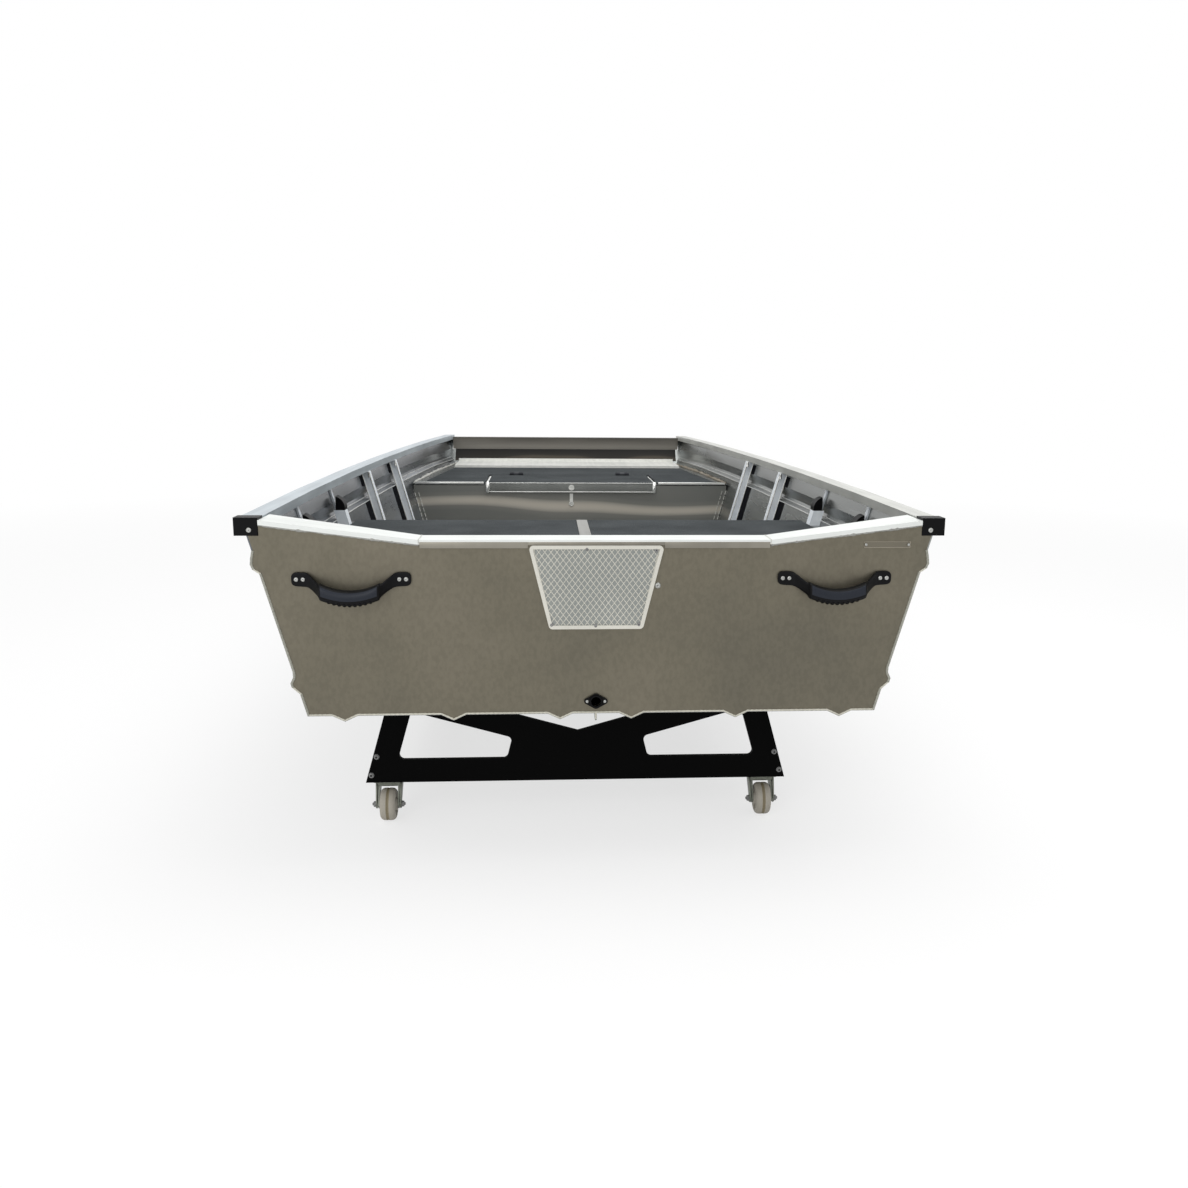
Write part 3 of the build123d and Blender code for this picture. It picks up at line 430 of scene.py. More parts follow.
def cut(mesh, at, way, trim=True):
    """Cut a mesh by a plane, and drop what lies beyond the plane."""
    bmesh.ops.bisect_plane(mesh, geom=mesh.verts[:] + mesh.edges[:] + mesh.faces[:], dist=TIGHT,
                           plane_co=at, plane_no=way, clear_outer=trim)


def node_copy(node):
    """A bmesh of a CAD node with its doubled points merged."""
    mesh = bmesh.new()
    mesh.from_mesh(frame["nodes"][node].data)
    bmesh.ops.remove_doubles(mesh, verts=mesh.verts, dist=MERGE)
    return mesh


def points(geometry):
    """The points among the elements that an operator gives back."""
    return [g for g in geometry if isinstance(g, bmesh.types.BMVert)]


def closed(mesh):
    """Fill the open ends of a mesh and turn its faces outwards."""
    bmesh.ops.holes_fill(mesh, edges=[e for e in mesh.edges if e.is_boundary], sides=0)
    bmesh.ops.recalc_face_normals(mesh, faces=mesh.faces)


def flattened(mesh):
    """Merge faces that lie in one plane."""
    bmesh.ops.dissolve_limit(mesh, angle_limit=radians(1), verts=mesh.verts, edges=mesh.edges)


def shifted(mesh, by):
    """Move a whole mesh."""
    bmesh.ops.translate(mesh, verts=mesh.verts, vec=by)


def spun(profile, steps=20):
    """A closed turned shape from (radius, height) points, turned about Z."""
    mesh = bmesh.new()
    ring = [mesh.verts.new((radius, 0, height)) for radius, height in profile]
    edges = [mesh.edges.new(pair) for pair in zip(ring, ring[1:])]
    bmesh.ops.spin(mesh, geom=ring + edges, axis=(0, 0, 1), angle=tau, steps=steps, use_merge=True)
    bmesh.ops.remove_doubles(mesh, verts=mesh.verts, dist=TIGHT)
    bmesh.ops.recalc_face_normals(mesh, faces=mesh.faces)
    return mesh


def joined(meshes):
    """One bmesh from several."""
    whole = bmesh.new()
    for mesh in meshes:
        data = baked("part", mesh)
        whole.from_mesh(data)
        bpy.data.meshes.remove(data)
    return whole


def copies(single, places):
    """One mesh with a copy of a shape at each matrix."""
    whole = joined([single.copy() for _ in places])
    whole.verts.ensure_lookup_table()
    count = len(single.verts)
    for i, matrix in enumerate(places):
        bmesh.ops.transform(whole, matrix=matrix, verts=whole.verts[i * count:(i + 1) * count])
    single.free()
    return whole


def facing(at, way, turn=0.0):
    """A matrix that stands a shape's +Z along a direction, at a point."""
    return (Matrix.Translation(at) @ Vector(way).to_track_quat("Z", "Y").to_matrix().to_4x4()
            @ Matrix.Rotation(turn, 4, "Z"))


def level(spots, axis, at, reach=0.001):
    """Whether all of some points lie at one place along an axis."""
    return all(abs(getattr(spot, axis) - at) < reach for spot in spots)


def middle_of(node):
    """The middle of a CAD node's box."""
    return sum(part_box(node), Vector()) / 2


print("piece helpers ready")

# %% [markdown]
# ## Rivets
# A blind rivet is a low dome with a flange, and a dimple where its mandrel broke off. A sphere
# pushed into the sheet would have neither, so the profile is drawn once, for a radius of one, and
# spun round. The screws and bolts are made in the same way.

# %% Helpers for fasteners
AFT = (0, -1, 0)
SIDES = ((1, "starboard"), (-1, "port"))
HANDLE_DROP, HANDLE_FOOT = 0.129, 0.0073
RIVET = (((0, 0.30), (0.22, 0.28), (0.27, 0.46), (0.55, 0.42), (0.86, 0.24), (1, 0.07), (1, -0.3),
          (0, -0.3)), 0.24)
SCREW = (((0, 0.42), (0.16, 0.42), (0.30, 0.62), (0.62, 0.58), (0.92, 0.36), (1, 0.10), (1, -0.2),
          (0, -0.2)), 0.26)
SOCKET_BOLT = (((0, 0.35), (0.38, 0.35), (0.42, 0.66), (0.70, 0.62), (0.80, 0.42), (0.80, 0.20),
                (1, 0.17), (1, -0.2), (0, -0.2)), 0.41)


def aft_places(face_y, spots):
    """Placements on a face that looks aft, from (x, distance below the gunwale's top)."""
    return [facing((x, face_y, sheer_z - drop), AFT) for x, drop in spots]


def fasteners(name, kind, radius, places, finishes):
    """Turned heads at some placements, with the second finish inside each head's core."""
    profile, core = kind
    head = spun([(radius * along, radius * height) for along, height in profile])
    for face in head.faces:
        face.material_index = int(face.calc_center_median().xy.length < core * radius)
    piece(name, copies(head, places), finishes)


def riveted(name, radius, face_y, spots):
    """Rivets on a face that looks aft, each with a dark core."""
    fasteners(name, RIVET, radius, aft_places(face_y, spots), (rivet_metal, bolt_steel))


print("fastener helpers ready")

# %% [markdown]
# Rivets hold the handles, the corner caps, the drain and the small plate, and their places are
# read from these.

# %% Rivets
for side, hand in SIDES:
    low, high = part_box("handle_" + hand)
    middle = (low.x + high.x) / 2
    reach = (high.x - low.x) / 2
    spots = [(middle + way * (reach - inset), HANDLE_DROP)
             for way in (-1, 1) for inset in (0.0105, 0.0250)]
    riveted("handle_rivets_" + hand, 0.0047, high.y - HANDLE_FOOT, spots)
    cap_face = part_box("corner_cap_" + hand)[0].y
    riveted("cap_rivet_" + hand, 0.0055, cap_face, [(side * 0.7325, 0.024)])

drain_middle = middle_of("drain_flange")
spots = [(drain_middle.x + way * 0.0195, sheer_z - drain_middle.z) for way in (-1, 1)]
riveted("drain_rivets", 0.0034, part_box("drain_flange")[1].y - 0.006, spots)

plate_middle = middle_of("id_plate")
spots = [(plate_middle.x + way, sheer_z - plate_middle.z) for way in (-0.0475, 0.0475)]
riveted("plate_rivets", 0.0030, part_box("id_plate")[0].y - 0.0008, spots)
riveted("transom_stud", 0.0068, transom_y, [(0.1335, 0.1455)])

# %% [markdown]
# ## Grab handles
# Each handle is one rubber moulding: two flat feet, wide arms that flow into a sagging grip, and
# nine finger ridges. The CAD solid has plain arms. Here rings are extruded along the handle and
# shaped by a table of stations, and a subdivision surface rounds the whole. The grip's front is
# a little glossier, and a lighter blue-grey is painted on it as a highlight.

# %% Helpers for the moulded handles
GRIP_SAG, GRIP_RISE, GRIP_HALF, LIT_HALF = 0.0385, 0.017, 0.066, 0.058
RIDGES, RIDGE_PITCH, RIDGE_RADIUS, RIDGE_OFF, RIDGE_OUT = 9, 0.0108, 0.0044, 0.0335, 0.0126
RING, RIDGE_RING, RIDGE_FROM, RIDGE_ROUND = 12, 10, radians(38), radians(120)
STATIONS = (  # millimetres along, below the feet, half height, stand-off, half depth; squareness
    (0, 36.2, 17.6, 32.8, 16.8, 2.4), (18, 35.0, 17.6, 32.8, 16.8, 2.4),
    (36, 31.4, 17.8, 32.6, 16.8, 2.4), (50, 26.8, 18.4, 32.4, 16.6, 2.6),
    (60, 22.8, 18.8, 31.6, 16.0, 3.0), (62.5, 21.6, 18.2, 30.6, 15.0, 3.0),
    (64.5, 20.2, 14.0, 29.2, 11.2, 3.0), (72, 14.6, 14.0, 21.6, 8.4, 3.5),
    (81, 8.0, 14.2, 13.0, 6.6, 4.0), (89, 3.0, 15.2, 6.8, 5.0, 5.0),
    (94, 0.6, 15.8, 4.1, 4.0, 6.0), (113, 0, 15.8, 3.7, 3.7, 6.0),
    (120.5, 0, 14.6, 3.7, 3.7, 6.0), (124.5, 0, 11.2, 3.7, 3.7, 5.0),
    (126.2, 0, 6.6, 3.7, 3.6, 4.0))


def rounded(value, squareness):
    """A sine or cosine pushed outwards, so that a circle becomes a rounded box."""
    return (1 if value >= 0 else -1) * abs(value) ** (2 / squareness)


def moulding():
    """The handle about its own middle: x along, -y away from the transom, z up."""
    mesh = bmesh.new()
    rows = [(-x, *rest) for x, *rest in reversed(STATIONS[1:])] + list(STATIONS)
    ring = bmesh.ops.create_circle(mesh, segments=RING, radius=1.0)["verts"]
    for i, (*sizes, square) in enumerate(rows):
        x, below, half_height, off, half_depth = (size / 1000 for size in sizes)
        if i:
            edges = list({e for v in ring for e in v.link_edges if all(w in ring for w in e.verts)})
            ring = points(bmesh.ops.extrude_edge_only(mesh, edges=edges)["geom"])
        mesh.verts.ensure_lookup_table()
        for k, vert in enumerate(sorted(ring, key=lambda v: v.index)):
            angle = tau * (k + 0.5) / RING
            vert.co = (x, -off - half_depth * rounded(cos(angle), square),
                       -below + half_height * rounded(sin(angle), square))
        mesh.verts.index_update()
    closed(mesh)
    for face in mesh.faces:
        # Faces along the grip's front that look aft get the painted highlight.
        lit = face.normal.y < -0.7 and -0.1 < face.normal.z < 0.6
        face.material_index = int(lit and abs(face.calc_center_median().x) < LIT_HALF)
    return mesh


def finger_ridges():
    """Rounded ribs, each bent round the underside of the grip."""
    mesh = bmesh.new()
    for i in range(RIDGES):
        x = (i - RIDGES // 2) * RIDGE_PITCH
        centre = Vector((x, -RIDGE_OFF, -GRIP_SAG + GRIP_RISE * (x / GRIP_HALF) ** 2))
        verts = bmesh.ops.create_circle(mesh, segments=RIDGE_RING, radius=RIDGE_RADIUS)["verts"]
        bmesh.ops.translate(mesh, verts=verts, vec=centre + Vector((0, -RIDGE_OUT, 0)))
        edges = list({e for v in verts for e in v.link_edges})
        bmesh.ops.rotate(mesh, verts=verts, cent=centre, matrix=Matrix.Rotation(RIDGE_FROM, 3, "X"))
        bmesh.ops.spin(mesh, geom=verts + edges, cent=centre, axis=(1, 0, 0), angle=RIDGE_ROUND,
                       steps=RIDGE_RING)
    closed(mesh)
    return mesh


print(len(STATIONS), "stations from the middle of the grip to the end of a foot")

# %% [markdown]
# The moulding replaces the CAD handle. The ridges are a piece of their own against its underside.

# %% Moulded handles
for hand in ("starboard", "port"):
    low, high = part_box("handle_" + hand)
    feet = Vector(((low.x + high.x) / 2, high.y, sheer_z - HANDLE_DROP))
    shape, ridges = moulding(), finger_ridges()
    shifted(shape, feet)
    shifted(ridges, feet)
    grip = piece("grab_handle_" + hand, shape, (grip_rubber, grip_sheen))
    rounder = grip.modifiers.new("rounding", "SUBSURF")
    rounder.levels = rounder.render_levels = 2
    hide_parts("handle_" + hand)
    piece("grip_ridges_" + hand, ridges, grip_rubber)

# %% [markdown]
# ## The small blank plate
# A thin plate is riveted level beside the starboard handle. It shows mostly by its bright rolled
# rim, so the plate is inset once and the rim lifted.

# %% Blank plate
PLATE_SIZE, PLATE_RIM, PLATE_DIP = (0.103, 0.0010, 0.0135), 0.0011, 0.0004
blank = block((plate_middle.x, transom_y - PLATE_SIZE[1] / 2, plate_middle.z), PLATE_SIZE)
face = [f for f in blank.faces if f.normal.y < -0.9]
bmesh.ops.inset_region(blank, faces=face, thickness=PLATE_RIM, depth=-PLATE_DIP)
for f in blank.faces:
    f.material_index = int(f not in face)
badge = piece("blank_plate", blank, (plate_metal, plate_rim_metal), smooth=False)
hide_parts("id_plate")

# %% [markdown]
# ## The motor pad's grid
# The pad has a raised rim and a net of thin ridges that cross at a slant, so that the clamp
# doesn't slip. Thin bars would cross inside one another. A turned grid of squares, cut to the
# pad's outline and made into a wire frame, gives one clean net.

# %% Grid and screws of the motor pad
PAD_THICK, RIM, RECESS, OVERLAP = 0.006, 0.008, 0.003, 0.001
CELLS, NET_WIDE, NET_HIGH, NET_BAR = 40, 0.0131, 0.0172, 0.0017
NET_OUT, FIELD_BACK, NET_MERGE = 0.0006, 0.0002, 0.0012
SCREW_RADIUS, BOTTOM_HALF = 0.0044, 0.102
HALF_DIAGONAL = 2 ** 0.5 / 2

pad_low, pad_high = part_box("rub_plate")
top_half = pad_high.x
field_y = pad_high.y - PAD_THICK + RECESS

net = bmesh.new()
bmesh.ops.create_grid(net, x_segments=CELLS, y_segments=CELLS, size=CELLS / 2)
bmesh.ops.rotate(net, verts=net.verts, matrix=Matrix.Rotation(pi / 4, 3, "Z"))
bmesh.ops.scale(net, verts=net.verts,
                vec=(NET_WIDE / 2 / HALF_DIAGONAL, NET_HIGH / 2 / HALF_DIAGONAL, 1))
bmesh.ops.rotate(net, verts=net.verts, matrix=Matrix.Rotation(pi / 2, 3, "X"))
shifted(net, (0, field_y - NET_OUT, middle_of("rub_plate").z))
slope = Vector((pad_high.z - pad_low.z, 0, -(top_half - BOTTOM_HALF))).normalized()
for at, way in (((top_half, 0, pad_high.z), slope),
                ((-top_half, 0, pad_high.z), Vector((-slope.x, 0, slope.z))),
                ((0, 0, pad_high.z), Vector((0, 0, 1))), ((0, 0, pad_low.z), Vector((0, 0, -1)))):
    cut(net, Vector(at) - way * (RIM - OVERLAP), way)
bmesh.ops.remove_doubles(net, verts=net.verts, dist=NET_MERGE)
field = net.copy()
flattened(field)
shifted(field, (0, FIELD_BACK, 0))
# The field is painted darker than the net, as shade between the ridges.
piece("pad_field", field, pad_field_shaded, smooth=False)
bmesh.ops.wireframe(net, faces=net.faces, thickness=NET_BAR, use_replace=True, use_boundary=True,
                    use_even_offset=True, offset=0.0)
piece("pad_net", net, pad_plastic, smooth=False)

spots = [(-0.0975, 0.2315), (-0.0015, 0.2340), (0.0930, 0.2315), (-0.0210, 0.0650), (0.1290, 0.0675)]
# Each screw's dip is painted dark inside, as shade.
fasteners("pad_screws", SCREW, SCREW_RADIUS, aft_places(field_y - 0.001, spots),
          (bolt_steel, socket_shade))

# %% [markdown]
# ## Weld beads
# A weld is a row of small overlapping ripples. A smooth tube looks like caulk, so the bead is a
# round curve whose thickness goes up and down every few millimetres. It follows a real edge of the
# CAD sheet: a copy of the node is merged, and its sharp edges in a chosen place are kept.

# %% Helpers for beads
CREASE, FACING, LUMPS_PER_METRE = radians(8), 0.9, 40


def sharp_edges(node, wanted, beside=None):
    """End points of a node's sharp edges that pass a test, beside a face that looks a given way."""
    mesh = node_copy(node)
    found = []
    for edge in mesh.edges:
        if len(edge.link_faces) == 2 and edge.calc_face_angle(0) > CREASE:
            ends = [v.co.copy() for v in edge.verts]
            if beside and max(f.normal.dot(Vector(beside)) for f in edge.link_faces) <= FACING:
                continue
            if wanted(*ends):
                found.append(ends)
    mesh.free()
    return found


def moved(pairs, inboard, forward, lift):
    """Lines moved towards the middle of the boat, forward and up."""
    return [[p + Vector((-inboard if p.x > 0 else inboard, forward, lift)) for p in ends]
            for ends in pairs]


def bead(name, pairs, radius, material=weld_metal, pitch=0.005, ripple=0.75, lumps=0.0):
    """A rippled tube along straight pieces of line, given as pairs of points."""
    line = bmesh.new()
    for a, b in pairs:
        steps = max(2, round((b - a).length / pitch))
        row = [line.verts.new(a.lerp(b, i / steps)) for i in range(steps + 1)]
        for pair in zip(row, row[1:]):
            line.edges.new(pair)
    bmesh.ops.remove_doubles(line, verts=line.verts, dist=MERGE)
    made = placed(name, baked(name + "_line", line))
    bpy.ops.object.select_all(action="DESELECT")
    bpy.context.view_layer.objects.active = made
    made.select_set(True)
    bpy.ops.object.convert(target="CURVE")
    made.data.bevel_depth = radius
    made.data.bevel_resolution = 1
    made.data.use_fill_caps = True
    for spline in made.data.splines:
        for i, point in enumerate(spline.points):
            lump = 1 + lumps * noise.noise(point.co.xyz * LUMPS_PER_METRE)
            point.radius = (ripple if i % 2 else 1.0) * lump
    bpy.ops.object.convert(target="MESH")
    made.data.materials.clear()
    made.data.materials.append(material)
    made.data.shade_smooth()
    settled(made, "root")


print("bead helpers ready")

# %% [markdown]
# The transom is welded all round to the sides and the bottom, with a short tick where the keel
# ends. The wings of the capping are welded underneath their lips, and a duller band runs along the
# lip where the capping dips.

# %% Welds of the transom
WING_X, LIP_Z = 0.380, sheer_z - 0.045
DIP_X, STEP_X, PROUD, BAND_TOP = 0.378, 0.1475, 0.0005, sheer_z - 0.0495
BELOW_CAP, CLEAR_OF_DRAIN = 0.03, 0.03


def on_transom_rim(a, b):
    """Edges round the transom's outer face, apart from the top and the drain's hole."""
    drain = Vector((drain_middle.x, 0, drain_middle.z))
    flat = [Vector((p.x, 0, p.z)) for p in (a, b)]
    return (level((a, b), "y", transom_y) and max(a.z, b.z) < sheer_z - BELOW_CAP
            and min((p - drain).length for p in flat) > CLEAR_OF_DRAIN)


def under_wing(a, b):
    """The lower edges of the capping's two wings."""
    middle = (a + b) / 2
    return (level((a, b), "y", transom_y - 0.003) and abs(middle.x) > WING_X
            and abs(a.x - b.x) > 0.1 and middle.z < sheer_z - BELOW_CAP)


rim = sharp_edges("transom_sheet", on_transom_rim)
under = [ends for ends in rim if abs(ends[0].x - ends[1].x) > abs(ends[0].z - ends[1].z)]
bead("transom_side_welds", [ends for ends in rim if ends not in under], 0.0032, rim_weld)
bead("transom_bottom_weld", under, 0.0024, bottom_weld)
keel_foot = Vector((0, transom_y - 0.0005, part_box("transom_sheet")[0].z - 0.003))
bead("keel_tick", [[keel_foot, keel_foot + Vector((0, 0, 0.016))]], 0.0030, bottom_weld,
     pitch=0.004, lumps=0.8)

cap_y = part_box("transom_cap")[0].y
bead("wing_welds", moved(sharp_edges("transom_cap", under_wing), 0, 0.0022, -0.0012), 0.0030,
     wing_weld, pitch=0.007, lumps=0.9)
bands = [bar((low, cap_y - PROUD, sheer_z - drop), (high, transom_y + PROUD, BAND_TOP), 0.0004)
         for low, high, drop in ((-DIP_X, -STEP_X, 0.063), (-STEP_X, STEP_X, 0.0565),
                                 (STEP_X, DIP_X, 0.063))]
piece("capping_bands", joined(bands), band_metal)
kinks = []
for side in (-1, 1):
    corner = Vector((side * WING_X, cap_y, LIP_Z + 0.0002))
    kinks.append([corner, Vector((corner.x, transom_y + 0.070, corner.z))])
    kinks.append([corner, Vector((corner.x, cap_y, corner.z - 0.010))])
bead("capping_seams", kinks, 0.0014, pitch=0.004)

# %% [markdown]
# Inside, thin bright beads on the ribs' aft edges and on the strake's bends are painted highlights,
# where the corners catch the light, and the posts and bulkheads are welded with short stitches. A
# stitch weld is the same bead in short pieces with gaps between them.

# %% Welds inside the boat
STITCH, GAP, SECOND_ROW = 0.016, 0.006, 0.016
STRAKE_BENDS = (0.118, 0.108)


def stitched(ends):
    """Short pieces of a line with gaps between them."""
    a, b = ends
    whole = (b - a).length
    way = (b - a) / whole
    found, at = [], GAP / 2
    while at + STITCH < whole:
        found.append([a + way * at, a + way * (at + STITCH)])
        at += STITCH + GAP
    return found


def bulkhead_side(a, b):
    """The upright edges of the bulkhead's aft face."""
    return abs(a.z - b.z) > 0.1 and level((a, b), "y", bulkhead_y)


def rib_edge(a, b):
    """The long edges of a rib."""
    return abs(a.z - b.z) > 0.25 and level([a], "y", b.y)


def strake_bend(a, b):
    """The two long bends of the strake's lower slope."""
    return abs(a.y - b.y) > 0.1 and any(
        level((a, b), "z", sheer_z - drop, 0.002) for drop in STRAKE_BENDS)


bulkhead_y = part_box("fore_bulkhead")[0].y
stitches = [part for ends in moved(sharp_edges("fore_bulkhead", bulkhead_side), 0.0025, -0.001, 0)
            for part in stitched(ends)]
bead("bulkhead_stitches", stitches, 0.0028)
bead("bulkhead_stitches_inner", moved(stitches, SECOND_ROW, 0, 0), 0.0020)

rib_lines = sharp_edges("side_ribs", rib_edge, AFT)
# Painted highlights: bright beads where the ribs' aft edges catch the light.
bead("rib_edge_highlights", rib_lines, 0.0022, polished, pitch=0.05, ripple=1.0)
for side, hand in SIDES:
    bends = sharp_edges("side_sheet_" + hand, strake_bend, (-side * 0.57, 0, 0.82))
    bead("strake_glints_" + hand, moved(bends, 0.0005, 0, 0.0005), 0.0019, polished, pitch=0.06,
         ripple=0.9)
tops = {}
for ends in rib_lines:
    top = max(ends, key=lambda p: p.z)
    key = (top.x > 0, round(top.y, 2))
    if key not in tops or abs(top.x) < abs(tops[key].x):
        tops[key] = top
top_welds = [[p + Vector((0, -0.001, -0.020)), p + Vector((0, -0.001, -0.002))] for p in tops.values()]
bead("rib_top_welds", top_welds, 0.0050, polished, pitch=0.006, lumps=0.8)

# %% [markdown]
# ## Painted shade beside the ribs
# Aft of each rib, the shade in the gap between the rib and the side sheet is painted as a thin black
# strip on the sheet, above and below the pressed strake. The sheet leans and tapers, so a free bar
# would float or sink. The strip is cut from a copy of the sheet's own inner faces with six planes,
# and then given its thickness.

# %% Painted shade strips beside the ribs
RIB_WIDE, STRIP_THICK = 0.040, 0.0015
STRIPS = ((0.034, 0.068, 0.048), (0.119, 0.330, 0.074))  # top and foot below the sheer, width


def patch(node, low, high, way, thickness):
    """A thin slab on the faces of a node that look a given way, inside a box."""
    mesh = node_copy(node)
    for corner, sign in ((low, -1), (high, 1)):
        for axis in range(3):
            normal = Vector((0, 0, 0))
            normal[axis] = sign
            cut(mesh, corner, normal)
    turned_away = [f for f in mesh.faces if f.normal.dot(Vector(way)) < 0.6]
    bmesh.ops.delete(mesh, geom=turned_away, context="FACES")
    flattened(mesh)
    raised = bmesh.ops.extrude_face_region(mesh, geom=mesh.faces[:], use_keep_orig=True)["geom"]
    bmesh.ops.translate(mesh, verts=points(raised), vec=Vector(way) * thickness)
    bmesh.ops.recalc_face_normals(mesh, faces=mesh.faces)
    return mesh


rib_low, rib_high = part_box("side_ribs")
for side, hand in SIDES:
    strips = [patch("side_sheet_" + hand, (-1, aft - wide, sheer_z - foot),
                    (1, aft - 0.001, sheer_z - top), (-side, 0, 0), STRIP_THICK)
              for aft in (rib_low.y, rib_high.y - RIB_WIDE) for top, foot, wide in STRIPS]
    piece("rib_shade_strips_" + hand, joined(strips), rib_shade_black, smooth=False)

# %% [markdown]
# ## Carpets
# The decks and the hatch lid are covered with marine carpet, glued down. A slab with sharp edges
# looks like board, so each carpet is a copy of its CAD solid with a rolled cut edge. It is cut
# into a 40 mm grid, whose points are pressed down by a little noise.

# %% Laid carpets
GRID, LEAST_STRIP, PRESSED, UNEVEN, UNEVEN_PER_METRE = 0.04, 0.01, 0.0005, 0.0006, 9
ROLLED, ON_TOP = 0.0030, 1e-4


def laid_carpet(node, body):
    """A cloth in place of a CAD carpet, laid on a deck."""
    mesh = node_copy(node)
    flattened(mesh)
    low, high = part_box(node)
    rim = [e for e in mesh.edges if level([v.co for v in e.verts], "z", high.z, ON_TOP)
           and e.calc_face_angle(0) > SHARP]
    bevelled(mesh, ROLLED, 3, rim)
    area = sum(f.calc_area() for f in mesh.faces if f.normal.z > FACING)
    for axis in (0, 1):
        normal = Vector((1 - axis, axis, 0))
        at = low[axis] + GRID
        while at < high[axis] - LEAST_STRIP:
            cut(mesh, normal * at, normal, trim=False)
            at += GRID
    for vert in mesh.verts:
        if level([vert.co], "z", high.z, ON_TOP):
            vert.co.z -= PRESSED + UNEVEN * noise.noise(vert.co * UNEVEN_PER_METRE)
    made = piece(node + "_cloth", mesh, carpet, body)
    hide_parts(node)


for hand in ("starboard", "port"):
    laid_carpet("aft_carpet_" + hand, "root")
laid_carpet("fore_carpet", "root")
laid_carpet("lid_carpet", "lid")

# %% [markdown]
# ## Bright edges of the fore deck and its hatch
# Folded edges are worn bright. The deck ends aft in a bright nosing, broken by the hatch. The
# lid's turned-down lip is covered with carpet between two bright lines, with a rounded tab at each
# end. A round eye ends the hasp below it.

# %% Deck nosing and hatch trims
NOSING, HATCH_GAP, DECK_END = 0.010, 0.009, 0.014
LIP_END, LIP_EDGE, LINE_HALF = 0.014, 0.005, 0.0016
EYE = ((0.0045, 0), (0.0045, 0.0030), (0.0060, 0.0042), (0.0088, 0.0042), (0.0100, 0.0030),
       (0.0100, 0), (0.0045, 0))

deck_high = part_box("fore_deck")[1]
fore_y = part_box("fore_carpet")[0].y
lid_low, lid_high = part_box("hatch_lid")
lid_y, lid_top = lid_low.y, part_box("lid_carpet")[1].z
nosing_z = deck_high.z - 0.002
hatch_half = lid_high.x + HATCH_GAP
nosings = [bar((x0, fore_y - 0.0025, nosing_z), (x1, fore_y + 0.0015, nosing_z + NOSING), 0.001)
           for x0, x1 in ((hatch_half, deck_high.x - DECK_END), (-deck_high.x + DECK_END, -hatch_half))]
piece("deck_nosing", joined(nosings), polished)

lip_half = lid_high.x - LIP_END
lip = bar((-lip_half, lid_y - 0.0018, lid_low.z + LIP_EDGE),
          (lip_half, lid_y + 0.0005, lid_top - LIP_EDGE), 0.0012)
lip_cloth = piece("lid_lip_carpet", lip, lip_carpet_lit, "lid")

line_half = lid_high.x - 0.010
trims = [bar((-line_half, lid_y - 0.0024, z - LINE_HALF), (line_half, lid_y + 0.0005, z + LINE_HALF),
             0.0008) for z in (lid_low.z + 0.0022, lid_top - 0.0018)]
for side in (-1, 1):
    tab = block((side * (lid_high.x - 0.0075), lid_y - 0.0012, (lid_low.z + lid_top) / 2 + 0.001),
                (0.015, 0.0034, lid_top - lid_low.z + 0.006))
    deep = [e for e in tab.edges if abs(e.verts[0].co.y - e.verts[1].co.y) > 0.002]
    trims.append(bevelled(tab, 0.0055, 4, deep))
piece("lid_trims", joined(trims), polished, "lid")

hasp_low, hasp_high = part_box("hatch_hasp")
hasp_foot = (middle_of("hatch_hasp").x, hasp_high.y - 0.0005, hasp_low.z + 0.001)
piece("hasp_eye", copies(spun(EYE, 24), [facing(hasp_foot, AFT)]), nose_metal)

# %% [markdown]
# ## Lumpy sealant at the bow
# Between the fore deck and the sides runs a rough bead of weld and sealant, laid by hand. It is
# made like the welds, thicker and with lumps from noise. The starboard one is stained brown.

# %% Sealant beside the fore deck
def deck_side(a, b):
    """The upper edges of the fore deck along the side of the boat in hand."""
    return (level((a, b), "z", deck_high.z) and min(side * a.x, side * b.x) > 0.45
            and abs(a.y - b.y) > 0.05)


for side, hand, material in ((1, "starboard", stained), (-1, "port", weld_metal)):
    bead("deck_sealant_" + hand, moved(sharp_edges("fore_deck", deck_side), 0.0075, 0, 0.003),
         0.0060, material, pitch=0.011, ripple=0.7, lumps=1.4)

# %% [markdown]
# ## Painted shade on the bow
# Low on the bow panel, between the tall bow rail and the turned-up edge of the nose plate, the boat
# is black with shade. The shade is painted as a thin near-black sheet, cut from the panel's own inner
# face.

# %% Painted shade on the bow panel
BOW_INWARD, SHADE_SHEET_THICK = (0, -0.743, 0.669), 0.002
nose_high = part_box("nose_plate")[1]
panel_low, panel_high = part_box("bow_panel")
bow_shade_sheet = patch("bow_panel", (-nose_high.x - 0.02, panel_low.y, nose_high.z - 0.012),
               (nose_high.x + 0.02, panel_high.y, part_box("bow_rail")[0].z), BOW_INWARD, SHADE_SHEET_THICK)
piece("bow_shade_piece", bow_shade_sheet, bow_shade_black, smooth=False)

# %% [markdown]
# ## Bolts of the dolly
# Each cradle plate is held to the side rails by two bolts in each leg, one above the other along
# the leaning edge. Their heads are round, with a washer under them and a hexagon socket, drawn as a
# round dip that is painted dark inside as shade.

# %% Dolly bolts
BOLT_RADIUS = 0.0068
BOLT_SPOTS = ((0.503, 0.019), (0.489, 0.066))  # out from the dolly's middle, up from the plate's foot

cradle_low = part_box("dolly_plate_aft")[0]
dolly_x = middle_of("dolly_plate_aft").x
fore_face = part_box("dolly_plate_fore")[1].y
for end, face_y, way in (("aft", cradle_low.y, AFT), ("fore", fore_face, (0, 1, 0))):
    places = [facing((dolly_x + side * half, face_y, cradle_low.z + rise), way)
              for side in (-1, 1) for half, rise in BOLT_SPOTS]
    fasteners("dolly_bolts_" + end, SOCKET_BOLT, BOLT_RADIUS, places, (bolt_steel, socket_shade))

